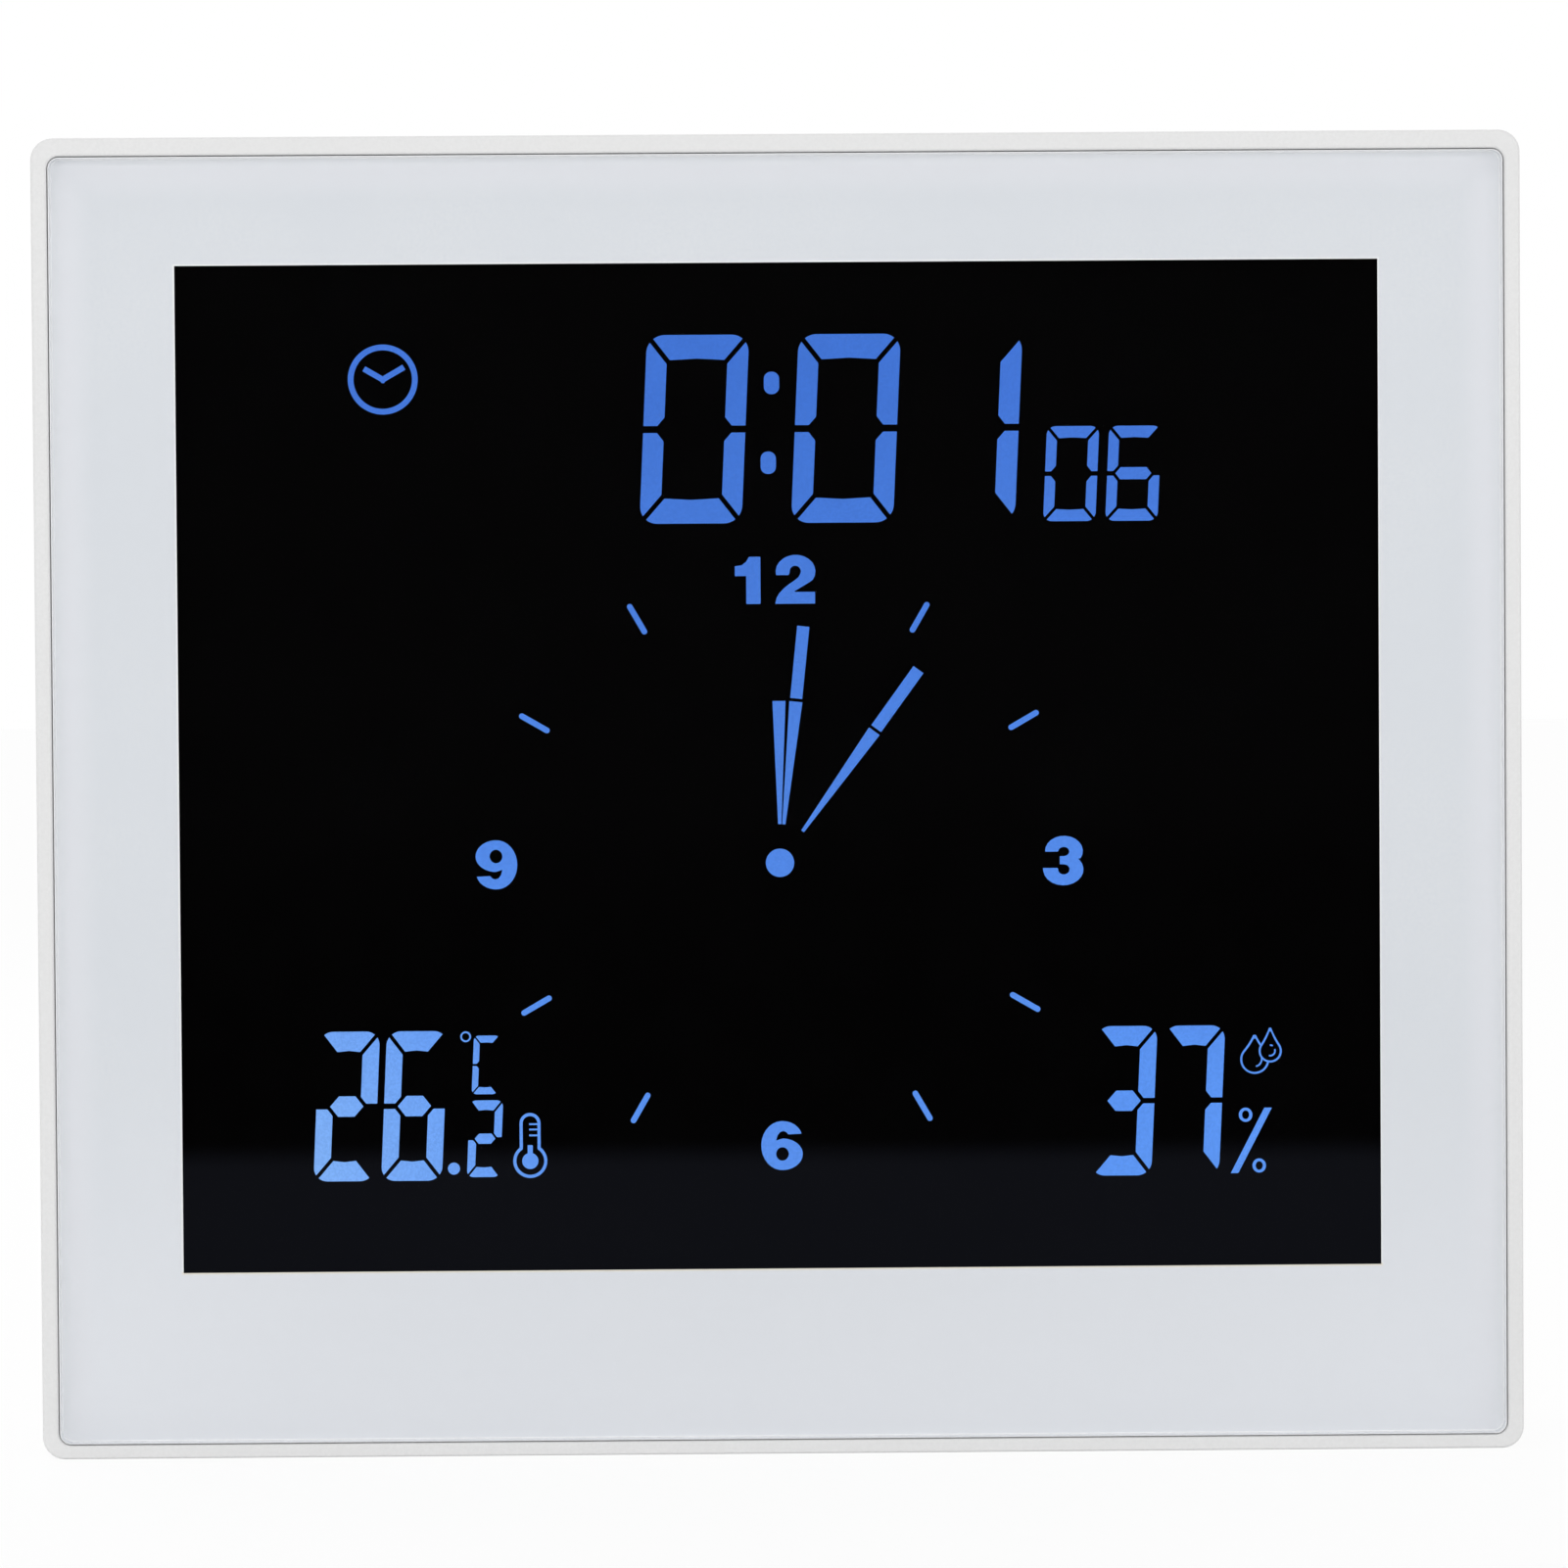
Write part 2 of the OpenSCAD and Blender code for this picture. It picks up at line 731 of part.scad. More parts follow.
module front_case() {
    color("whitesmoke")
    difference() {
        union() {
            difference() {
                slab(0, front_half_d) case_outline(0, corner_r);
                slab(-lap, panel_front) lens_outline(rim_w, lens_r + lens_gap);
                slab(panel_back, front_half_d + lap) case_outline(wall, corner_r / 2);
                slab(panel_front - lap, panel_back + lap)
                    translate([0, window_z])
                        square([view_w, view_h], center = true);
            }
            for (spot = screw_spots)
                rod(boss_r, panel_back - lap, board_back, spot.x, spot.y);
            for (spot = post_spots)
                rod(post_r, panel_back - lap, board_front, spot.x, spot.y);
        }
        for (spot = screw_spots)
            rod(screw_r + screw_gap, panel_back, board_back + lap, spot.x, spot.y);
        for (spot = post_spots)
            rod(board_screw_r + screw_gap, panel_back, board_front + lap, spot.x, spot.y);
    }
}

module front_lens() {
    color("aliceblue", 0.4)
    slab(lens_recess, lens_back) lens_outline(rim_w + lens_gap, lens_r);
}

module lens_print() {
    color("lavender")
    slab(lens_back, print_back)
        difference() {
            lens_outline(rim_w + lens_gap, lens_r);
            translate([0, window_z])
                square([window_w, window_h], center = true);
        }
}

module lens_tape() {
    color("dimgray")
    slab(print_back, panel_front)
        difference() {
            lens_outline(rim_w + lens_gap + tape_inset, lens_r);
            translate([0, window_z])
                square([window_w + 2 * tape_margin, window_h + 2 * tape_margin], center = true);
        }
}

// Display

module lcd_front_polariser() {
    color("midnightblue")
    slab(panel_back - film_t, panel_back)
        translate([0, window_z])
            square([view_w - 2 * film_gap, view_h - 2 * film_gap], center = true);
}

module lcd_front_glass() {
    color("lightsteelblue", 0.5)
    block(glass_w, glass_top - glass_low, panel_back, figure_front, 0, (glass_top + glass_low) / 2);
}

module lcd_seal() {
    outer_w = glass_w - 2 * seal_inset;
    outer_h = glass_top - rear_glass_low - 2 * seal_inset;
    middle = (glass_top + rear_glass_low) / 2;
    color("gray")
    slab(figure_front, figure_back)
        frame_outline(outer_w, outer_h, outer_w - 2 * seal_w, outer_h - 2 * seal_w, middle, middle);
}

module time_digits() {
    color("royalblue")
    display_layer() {
        time_figure(shown_hour, hour_x);
        time_figure(floor(shown_minute / 10), minute_tens_x);
        time_figure(shown_minute % 10, minute_ones_x);
        seconds_figure(floor(shown_second / 10), seconds_x[0]);
        seconds_figure(shown_second % 10, seconds_x[1]);
        for (rise = [0.32, 0.743] * time_h)
            translate([colon_x + rise * tan(slant), time_base + rise])
                round_rect(colon_w, colon_h, colon_r);
    }
}

module dial_marks() {
    color("royalblue")
    display_layer()
        translate([0, dial_z]) {
            circle(dial_dot_d / 2);
            for (hour = [1 : 11])
                if (hour % 3 != 0)
                    rotate(-30 * hour)
                        translate([0, dial_r - tick_inset])
                            rotate(90)
                                pill(tick_l, tick_w);
            translate([-0.62 * numeral_h, dial_r - numeral_h / 2])
                scale(numeral_h)
                    numeral_one();
            translate([0.35 * numeral_h, dial_r - numeral_h / 2])
                scale(numeral_h)
                    numeral_two();
            translate([dial_r, -numeral_h / 2])
                scale(numeral_h)
                    numeral_three();
            translate([0, -dial_r - numeral_h / 2])
                scale(numeral_h)
                    numeral_six();
            translate([-dial_r, numeral_h / 2])
                rotate(180)
                    scale(numeral_h)
                        numeral_six();
        }
}

// One bar of a hand: turned from twelve, between two radii and two widths
module hand_bar(turn, from, to, from_w, to_w) {
    rotate(-turn)
        polygon([[-from_w / 2, from], [from_w / 2, from], [to_w / 2, to], [-to_w / 2, to]]);
}

module clock_hands() {
    hour_turn = 30 * (shown_hour % 12) + 6 * floor(shown_minute / 12);
    minute_turn = 6 * shown_minute;
    second_turn = 6 * shown_second;
    color("royalblue")
    display_layer()
        translate([0, dial_z]) {
            for (turn = [hour_turn, minute_turn, second_turn])
                hand_bar(turn, hand_root, hand_split, hand_root_w, hand_split_w);
            for (turn = [minute_turn, second_turn])
                hand_bar(turn, hand_split + hand_gap, hand_tip, hand_outer_w, hand_tip_w);
        }
}

// A small mark of a readout, placed from the readout's base
module readout_mark(spot) {
    translate(spot + [0, readout_base])
        children();
}

module thermometer_outline(inset) {
    circle(bulb_r - inset);
    translate([inset - stem_half_w, 0])
        square([2 * (stem_half_w - inset), stem_top]);
    translate([0, stem_top])
        circle(stem_half_w - inset);
}

module temperature_readout() {
    color("royalblue")
    display_layer() {
        readout_figure(floor(shown_degrees / 10), degrees_x[0]);
        readout_figure(shown_degrees % 10, degrees_x[1]);
        readout_mark(point_spot)
            circle(point_r);
        readout_mark(tenths_spot)
            figure(shown_tenths, tenths_w, tenths_h, tenths_stroke, tenths_bar, tenths_split);
        readout_mark(degree_spot)
            ring(degree_r, degree_hole_r);
        readout_mark(letter_spot)
            figure(letter_c, letter_w, letter_h, letter_stroke, letter_bar, letter_split);
        readout_mark(bulb_spot) {
            difference() {
                thermometer_outline(0);
                thermometer_outline(bulb_line);
            }
            circle(bulb_core_r);
            translate([-column_w / 2, 0])
                square([column_w, column_h]);
            for (rise = level_rises)
                translate([-level_reach, rise])
                    square([level_reach + stem_half_w - bulb_line / 2, level_h]);
        }
    }
}

// A curved glint inside a drop, between two radii and two turns
module glint(g) {
    outer = arc([0, 0], g[1], g[1], g[2], g[3], 8);
    inner = arc([0, 0], g[0], g[0], g[3], g[2], 8);
    polygon(concat(outer, inner));
}

module humidity_readout() {
    color("royalblue")
    display_layer() {
        readout_figure(floor(shown_humidity / 10), humidity_x[0]);
        readout_figure(shown_humidity % 10, humidity_x[1]);
        readout_mark(percent_spot)
            polygon([[0, 0], [percent_w, 0], [percent_w + percent_lean, percent_h],
                [percent_lean, percent_h]]);
        for (spot = percent_ring_spots)
            readout_mark(spot)
                difference() {
                    oval(percent_ring);
                    oval(percent_hole);
                }
        // The small drop lies in front of the big one
        difference() {
            readout_mark(big_drop)
                drop_ring(big_drop_r, big_drop_point, drop_line);
            readout_mark(small_drop)
                drop(small_drop_r - drop_line / 2, small_drop_point - drop_line);
        }
        readout_mark(small_drop)
            drop_ring(small_drop_r, small_drop_point, drop_line);
        readout_mark(big_drop)
            glint(big_glint);
        for (g = small_glints)
            readout_mark(small_drop)
                glint(g);
    }
}

module clock_sign() {
    color("royalblue")
    display_layer()
        translate(sign_spot) {
            ring(sign_r, sign_r - sign_line);
            for (hand = sign_hands)
                rotate(hand[0])
                    translate([-sign_line / 2, -sign_line / 2])
                        square([sign_line, hand[1]]);
        }
}

module lcd_rear_glass() {
    color("darkslategray")
    block(glass_w, glass_top - rear_glass_low, figure_back, rear_glass_back,
        0, (glass_top + rear_glass_low) / 2);
}

module lcd_rear_polariser() {
    color("midnightblue")
    block(guide_w, guide_h, rear_glass_back, polariser_back, 0, window_z);
}

// Backlight

module diffuser_sheet() {
    color("white")
    block(guide_w, guide_h, polariser_back, guide_front, 0, window_z);
}

module light_guide() {
    color("lightcyan", 0.6)
    block(guide_w, guide_h, guide_front, guide_back, 0, window_z);
}

module reflector_sheet() {
    color("white")
    block(guide_w, guide_h, guide_back, tray_floor, 0, window_z);
}

module backlight_tray() {
    inner_h = tray_in_top - tray_in_low;
    middle = (tray_in_top + tray_in_low) / 2;
    color("ivory")
    difference() {
        block(tray_in_w + 2 * tray_wall, inner_h + 2 * tray_wall, rear_glass_back, board_front,
            0, middle);
        block(tray_in_w, inner_h, rear_glass_back - lap, tray_floor, 0, middle);
    }
}

module led_board() {
    color("seagreen")
    block(guide_w - 2 * lamp_board_inset, lamp_board_t, guide_front, guide_back,
        0, tray_in_low + lamp_gap + lamp_board_t / 2);
}

module backlight_leds() {
    pitch = guide_w / (lamp_count + 1);
    color("gold")
    for (i = [1 : lamp_count])
        block(lamp_w, lamp_h, guide_front + lamp_inset, guide_back - lamp_inset, i * pitch - guide_w / 2,
            tray_in_low + lamp_gap + lamp_board_t + lamp_h / 2);
}

// Board and what is on it

module zebra_strip() {
    color("pink")
    block(guide_w, zebra_t, figure_front, board_front, 0, zebra_z);
}

module main_board() {
    notch = corner_zone - board_edge;
    board_w = case_w - 2 * board_edge;
    board_h = case_h - 2 * board_edge;
    color("darkgreen")
    difference() {
        slab(board_front, board_back)
            translate([0, case_h / 2])
                union() {
                    square([board_w, board_h - 2 * notch], center = true);
                    square([board_w - 2 * notch, board_h], center = true);
                }
        for (spot = post_spots)
            rod(board_screw_r + screw_room, board_front - lap, board_back + lap, spot.x, spot.y);
    }
}

module processor_blob() {
    blob_r = 7;
    blob_h = 2;
    ball_r = (blob_r * blob_r + blob_h * blob_h) / (2 * blob_h);
    color("black")
    intersection() {
        translate([blob_spot.x, front_y + board_back + blob_h - ball_r, blob_spot.y])
            sphere(ball_r, $fn = 160);
        block(3 * blob_r, 3 * blob_r, board_back, board_back + 2 * blob_h, blob_spot.x, blob_spot.y);
    }
}

module quartz_crystal() {
    can_r = 1;
    can_l = 6;
    color("silver") {
        cross_rod(can_r, crystal_spot.x - can_l / 2, crystal_spot.x + can_l / 2,
            board_back + can_r, crystal_spot.y);
        block(can_l / 2, 2 * can_r, board_back, board_back + can_r, crystal_spot.x, crystal_spot.y);
    }
}

module buzzer() {
    sound_hole_r = 1;
    sound_hole_d = 1.5;
    top = board_back + buzzer_h;
    color("black")
    difference() {
        rod(buzzer_d / 2, board_back, top, buzzer_spot.x, buzzer_spot.y);
        rod(sound_hole_r, top - sound_hole_d, top + lap, buzzer_spot.x, buzzer_spot.y);
    }
}

module capacitors() {
    can_r = 2.5;
    can_h = 7;
    color("navy")
    for (spot = capacitor_spots)
        rod(can_r, board_back, board_back + can_h, spot.x, spot.y);
}

module chip_parts() {
    chip = [2, 1.25, 0.6];
    color("sienna")
    for (column = [0 : 5], row = [0 : 1])
        block(chip.x, chip.y, board_back, board_back + chip.z,
            chip_spot.x + chip_pitch.x * column, chip_spot.y + chip_pitch.y * row);
}

// Place of a rear key in its row
function key_x(index) = (index - (key_count - 1) / 2) * key_pitch;

// A stem's bore in its switch, with room for the travel
stem_seat = 1.2;

module rear_switches() {
    color("dimgray")
    for (i = [0 : key_count - 1])
        difference() {
            block(switch_w, switch_w, board_back, board_back + switch_h, key_x(i), key_z);
            rod(stem_r + stem_gap, board_back + switch_h - stem_seat - key_travel,
                board_back + switch_h + lap, key_x(i), key_z);
        }
}

module snooze_switch() {
    bore_d = stem_seat + key_travel;
    color("dimgray")
    difference() {
        block(switch_w, switch_h, board_back, board_back + switch_w, 0, snooze_switch_top - switch_h / 2);
        translate([0, front_y + snooze_stem_axis, snooze_switch_top - bore_d])
            cylinder(r = stem_r + stem_gap, h = bore_d + lap);
    }
}

// Outline of the power socket, drawn in depth and height
module usb_outline(grow) {
    translate([front_y + board_back + usb_t / 2, usb_z])
        rotate(90)
            pill(usb_w + 2 * grow, usb_t + 2 * grow);
}

// An outline drawn in Y and Z, made solid between two places in X
module side_slab(from, to) {
    translate([from, 0, 0])
        rotate([90, 0, 90])
            linear_extrude(to - from) children();
}

module usb_shell() {
    color("silver")
    difference() {
        side_slab(usb_mouth - usb_l, usb_mouth) usb_outline(0);
        side_slab(usb_mouth - usb_l + usb_back_t, usb_mouth + lap) usb_outline(-usb_shell_t);
    }
}

module usb_tongue() {
    root = usb_mouth - usb_l + usb_back_t;
    color("black")
    translate([root, front_y + board_back + (usb_t - tongue_t) / 2, usb_z - tongue_w / 2])
        cube([usb_mouth - tongue_sink - root, tongue_t, tongue_w]);
}

module humidity_sensor() {
    size = [11, 8, 3.5];
    hole_r = 0.6;
    hole_d = 1;
    hole_pitch = 2.2;
    spot = vent_spot + [0, sensor_rise];
    top = board_back + size.z;
    color("deepskyblue")
    difference() {
        block(size.x, size.y, board_back, top, spot.x, spot.y);
        for (column = [-1.5 : 1.5], row = [-1 : 1])
            rod(hole_r, top - hole_d, top + lap, spot.x + hole_pitch * column, spot.y + hole_pitch * row);
    }
}

module thermistor() {
    bead_r = 1.2;
    lead_r = 0.25;
    lead_l = 4;
    lead_x = 0.6;
    spot = vent_spot - [0, thermistor_drop];
    color("saddlebrown") {
        translate([spot.x, front_y + board_back + lead_l, spot.y])
            sphere(bead_r);
        for (side = [-1, 1])
            rod(lead_r, board_back, board_back + lead_l, spot.x + lead_x * side, spot.y);
    }
}

module board_screws() {
    color("silver")
    for (spot = post_spots)
        screw(board_screw_r, board_screw_l, board_head_r, screw_head_h, board_back, spot);
}

// Rear cover

// Profile of the rear half with round back edges, drawn across and in depth
module back_profile(across) {
    depth = case_d - front_half_d;
    translate([-across / 2, front_y + front_half_d])
        square([across, depth - back_r]);
    translate([-across / 2 + back_r, front_y + front_half_d])
        square([across - 2 * back_r, depth]);
    for (side = [-1, 1])
        translate([side * (across / 2 - back_r), front_y + case_d - back_r])
            circle(back_r);
}

module rear_body() {
    intersection() {
        slab(front_half_d, case_d) case_outline(0, corner_r);
        linear_extrude(case_h) back_profile(case_w);
        side_slab(-case_w / 2, case_w / 2)
            translate([0, case_h / 2])
                mirror([1, -1])
                    back_profile(case_h);
    }
}

// Four bars along the sides of the case, left out at the corner screws
module side_bars(from, to) {
    long_w = case_w - 2 * corner_zone;
    long_h = case_h - 2 * corner_zone;
    for (z = [from, case_h - to])
        translate([-long_w / 2, z])
            square([long_w, to - from]);
    for (x = [from - case_w / 2, case_w / 2 - to])
        translate([x, corner_zone])
            square([to - from, long_h]);
}

// Lip that keeps the two halves in line, and its root on the cover's walls
module rear_lip() {
    slab(front_half_d - lip_h, front_half_d + lip_root) side_bars(wall + fit_gap, lip_inner);
    slab(front_half_d, front_half_d + lip_root) side_bars(wall - lap, lip_inner - lip_t / 2);
}

// Stand recess, drawn in X and Z and grown by a distance
module recess_outline(grow) {
    low = grow > 0 ? wall / 2 : -lap;
    translate([-recess_w / 2 - grow, low])
        square([recess_w + 2 * grow, recess_top + grow - low]);
    translate([leg_w / 2, notch_z])
        circle(notch_r + grow);
}

module rear_inside() {
    slab(case_d - recess_d - wall, case_d - wall / 2) recess_outline(wall);
    intersection() {
        cross_rod(trough_r + wall, -recess_w / 2 - wall, recess_w / 2 + wall, stand_axis, stand_z);
        block(case_w, case_h, board_back, case_d - wall / 2, 0, case_h / 2);
    }
    block(bay_l + 2 * bay_wall, bay_h + 2 * bay_wall, bay_floor - bay_floor_t, case_d - wall / 2,
        0, bay_z);
    for (spot = screw_spots)
        rod(tube_r, board_back, case_d - wall / 2, spot.x, spot.y);
}

module sound_holes() {
    hole_r = 0.8;
    pitch = 3.2;
    for (row = [-2 : 2], i = [0 : 4 - abs(row)])
        rod(hole_r, case_d - wall - lap, case_d + lap,
            buzzer_spot.x + (i - (4 - abs(row)) / 2) * pitch, buzzer_spot.y + row * pitch * sin(60));
}

module vent_slots() {
    slot = [16, 1.6];
    pitch = 3.4;
    for (row = [-2.5 : 2.5])
        slab(case_d - wall - lap, case_d + lap)
            translate(vent_spot + [0, row * pitch])
                pill(slot.x, slot.y);
}

// A slot through the bay's wall and on under the cover, above or below the bay, for a tab or nib
module catch_slot(w, reach, x, edge, way) {
    slot_from = tab_face - tab_t - tab_swing;
    seat_h = door_ledge + door_gap;
    slot_h = seat_h + reach + door_gap;
    block(w + 4 * door_gap, slot_h, slot_from, case_d - wall, x, edge + way * slot_h / 2);
    block(w + 4 * door_gap, seat_h, slot_from, case_d - door_t, x, edge + way * seat_h / 2);
}

module rear_cover() {
    color("whitesmoke")
    difference() {
        union() {
            difference() {
                rear_body();
                slab(front_half_d - lap, case_d - wall) case_outline(wall, corner_r / 2);
            }
            rear_lip();
            rear_inside();
        }
        for (spot = screw_spots) {
            rod(screw_r + screw_room, board_back - lap, case_d, spot.x, spot.y);
            rod(well_r, case_d - well_d, case_d + lap, spot.x, spot.y);
        }
        block(bay_l, bay_h, bay_floor, case_d + lap, 0, bay_z);
        block(door_w + 2 * door_gap, door_h + 2 * door_gap, case_d - door_t - door_seat, case_d + lap,
            0, bay_z);
        for (side = [-1, 1])
            catch_slot(tab_w, tab_reach, side * tab_x, bay_low, -1);
        catch_slot(latch_w, latch_nib, 0, bay_top, 1);
        for (way = [-1, 1])
            contact_tab(way, 2 * door_gap, bay_floor + lap);
        slab(case_d - recess_d, case_d + lap) recess_outline(0);
        cross_rod(trough_r, -recess_w / 2, recess_w / 2, stand_axis, stand_z);
        cross_rod(pin_r + screw_gap, -recess_w / 2 - wall - lap, recess_w / 2 + wall + lap,
            stand_axis, stand_z);
        slab(case_d - wall - lap, case_d + lap)
            for (i = [0 : key_count - 1])
                translate([key_x(i), key_z])
                    pill(key_w + 2 * fit_gap, key_h + 2 * fit_gap);
        translate([0, front_y + snooze_axis, case_h - wall - lap])
            linear_extrude(wall + 2 * lap)
                pill(snooze_w + 2 * fit_gap, snooze_d + 2 * fit_gap);
        side_slab(case_w / 2 - wall - lap, case_w / 2 + lap) usb_outline(2 * fit_gap);
        sound_holes();
        vent_slots();
    }
}

module case_screws() {
    color("silver")
    for (spot = screw_spots)
        screw(screw_r, screw_l, screw_head_r, screw_head_h, case_d - well_d, spot);
}

// Battery bay

module battery_door() {
    plate_back = case_d - door_t;
    color("whitesmoke")
    difference() {
        union() {
            slab(plate_back, case_d)
                translate([0, bay_z])
                    square([door_w, door_h], center = true);
            for (side = [-1, 1])
                translate([side * tab_x - tab_w / 2, front_y + tab_face - tab_t, door_low - tab_reach]) {
                    cube([tab_w, tab_t, tab_reach + 2 * door_ledge]);
                    translate([0, 0, tab_reach])
                        cube([tab_w, plate_back - tab_face + tab_t + lap, 2 * door_ledge]);
                }
        }
        block(latch_w + 2 * door_gap, 2 * latch_h, plate_back - lap, case_d + lap, 0, door_top);
    }
}

// Springy tongue at the door's upper edge, with a nib that catches under the cover
module door_latch() {
    nib_t = 1.2;
    plate_back = case_d - door_t;
    nib_back = tab_face - tab_t;
    color("whitesmoke")
    translate([-latch_w / 2, front_y, door_top]) {
        translate([0, plate_back, -latch_h])
            cube([latch_w, door_t, latch_h]);
        translate([0, nib_back, -nib_t])
            cube([latch_w, plate_back - nib_back + lap, nib_t]);
        translate([0, nib_back, -nib_t])
            cube([latch_w, tab_t, nib_t + latch_nib]);
    }
}

// Height of a cell's axis, counted from the lowest cell
function cell_z(index) = bay_low + cell_play + cell_d / 2 + index * cell_pitch;

// Neighbouring cells lie head to tail, with a nub at the head
nub_l = 1;
nub_r = 1.9;
cell_head = bay_l / 2 - contact_t - end_play / 2;

module battery_cells() {
    color("darkslateblue")
    for (i = [0 : cell_count - 1])
        mirror([i % 2, 0, 0]) {
            cross_rod(cell_d / 2, cell_head - cell_l, cell_head - nub_l, cell_axis, cell_z(i));
            cross_rod(nub_r, cell_head - nub_l - lap, cell_head, cell_axis, cell_z(i));
        }
}

// A wire coil along X: rings of six points round a line that winds and narrows
coil_steps = 8;
coil_sides = 6;
coil_wide = 3.4;
coil_narrow = 2.4;
coil_clear = 0.05;
coil_l = spring_l + end_play / 2 - spring_wire - 2 * coil_clear;
coil_root = contact_t + coil_clear + spring_wire / 2 - bay_l / 2;

function coil_point(i) =
    let (share = i / (spring_turns * coil_steps), r = coil_wide + (coil_narrow - coil_wide) * share)
    [share * coil_l, r * cos(360 * i / coil_steps), r * sin(360 * i / coil_steps)];

function coil_ring(i) =
    let (p = coil_point(i), turn = 360 * i / coil_steps)
    [for (k = [0 : coil_sides - 1]) let (a = 360 * k / coil_sides)
        p + spring_wire / 2 * [cos(a), sin(a) * cos(turn), sin(a) * sin(turn)]];

// Least gap between neighbouring turns of the coil
coil_gap = min([for (i = [0 : (spring_turns - 1) * coil_steps])
    norm(coil_point(i + coil_steps) - coil_point(i)) - spring_wire]);
echo(battery_spring_gap = coil_gap);

module coil() {
    last = spring_turns * coil_steps;
    points = [for (i = [0 : last]) each coil_ring(i)];
    walls = [for (i = [0 : last - 1], k = [0 : coil_sides - 1])
        let (a = i * coil_sides + k, b = i * coil_sides + (k + 1) % coil_sides)
        each [[a, b, b + coil_sides], [a, b + coil_sides, a + coil_sides]]];
    near_end = [for (k = [1 : coil_sides - 2]) [0, k + 1, k]];
    tip = last * coil_sides;
    far_end = [for (k = [1 : coil_sides - 2]) [tip, tip + k, tip + k + 1]];
    polyhedron(points, concat(walls, near_end, far_end));
}

module battery_springs() {
    color("silver")
    for (i = [0 : cell_count - 1])
        mirror([i % 2, 0, 0])
            translate([coil_root, front_y + cell_axis, cell_z(i)])
                coil();
}

// Contact plates: single ones at the two ends of the row of cells, and shared ones in between
contact_w = 9;
contact_h = 8;
contact_front = cell_axis - contact_h / 2;

module contact_plate(side, first, last) {
    low = cell_z(first) - contact_w / 2;
    translate([side * (bay_l - contact_t) / 2 - contact_t / 2, front_y + contact_front, low])
        cube([contact_t, contact_h, cell_z(last) + contact_w / 2 - low]);
}

// Solder tab of an end plate, through the bay's floor to the board
module contact_tab(side, grow, to) {
    tab = 1.2;
    z = side > 0 ? cell_z(0) : cell_z(cell_count - 1);
    block(contact_t + grow, tab + grow, board_back, to, side * (bay_l - contact_t) / 2, z);
}

module battery_contacts() {
    color("silver")
    for (side = [-1, 1]) {
        contact_plate(side, side > 0 ? 0 : cell_count - 1, side > 0 ? 0 : cell_count - 1);
        contact_tab(side, 0, contact_front + lap);
        contact_plate(side, side > 0 ? 1 : 0, side > 0 ? cell_count - 1 : cell_count - 2);
    }
}

// Stand

module stand_leg() {
    color("whitesmoke")
    difference() {
        union() {
            block(leg_w, stand_z - leg_low, leg_face - leg_t, leg_face, 0, (stand_z + leg_low) / 2);
            cross_rod(knuckle_r, -leg_w / 2, leg_w / 2, stand_axis, stand_z);
            block(leg_w, heel, stand_axis, stand_axis + heel, 0, stand_z + heel / 2);
        }
        cross_rod(pin_r + pin_gap, -leg_w / 2 - lap, leg_w / 2 + lap, stand_axis, stand_z);
    }
}

module stand_pin() {
    color("silver")
    cross_rod(pin_r, -pin_l / 2, pin_l / 2, stand_axis, stand_z);
}

module stand_foot() {
    color("dimgray")
    block(leg_w - 2 * foot_inset.x, foot_h, leg_face - leg_t + foot_inset.y, leg_face - foot_inset.y,
        0, foot_z + foot_h / 2);
}

// Keys

module snooze_button() {
    flange_d = snooze_d + 2 * key_flange;
    color("white") {
        translate([0, front_y + snooze_axis, snooze_seat - lap])
            linear_extrude(case_h + snooze_proud - snooze_seat + lap)
                pill(snooze_w, snooze_d);
        translate([0, front_y + snooze_axis, snooze_seat - key_flange_t])
            linear_extrude(key_flange_t)
                pill(snooze_w + 2 * key_flange, flange_d);
        translate([0, front_y + snooze_stem_axis, snooze_stem_top])
            cylinder(r = stem_r, h = snooze_seat - key_flange_t / 2 - snooze_stem_top);
    }
}

module snooze_stem() {
    color("black")
    translate([0, front_y + snooze_stem_axis, snooze_switch_top - stem_seat])
        cylinder(r = stem_r, h = snooze_stem_top - snooze_switch_top + stem_seat);
}

module rear_key(index) {
    color("gainsboro") {
        slab(key_seat - lap, case_d + key_proud)
            translate([key_x(index), key_z])
                pill(key_w, key_h);
        slab(key_seat - key_flange_t, key_seat)
            translate([key_x(index), key_z])
                pill(key_w + 2 * key_flange, key_h + 2 * key_flange);
        rod(stem_r, stem_end, key_seat - key_flange_t / 2, key_x(index), key_z);
    }
}

module rear_stem(index) {
    color("black")
    rod(stem_r, board_back + switch_h - stem_seat, stem_end, key_x(index), key_z);
}

module mode_key() { rear_key(0); }
module set_key() { rear_key(1); }
module up_key() { rear_key(2); }
module down_key() { rear_key(3); }
module alarm_key() { rear_key(4); }
module light_key() { rear_key(5); }
module mode_stem() { rear_stem(0); }
module set_stem() { rear_stem(1); }
module up_stem() { rear_stem(2); }
module down_stem() { rear_stem(3); }
module alarm_stem() { rear_stem(4); }
module light_stem() { rear_stem(5); }

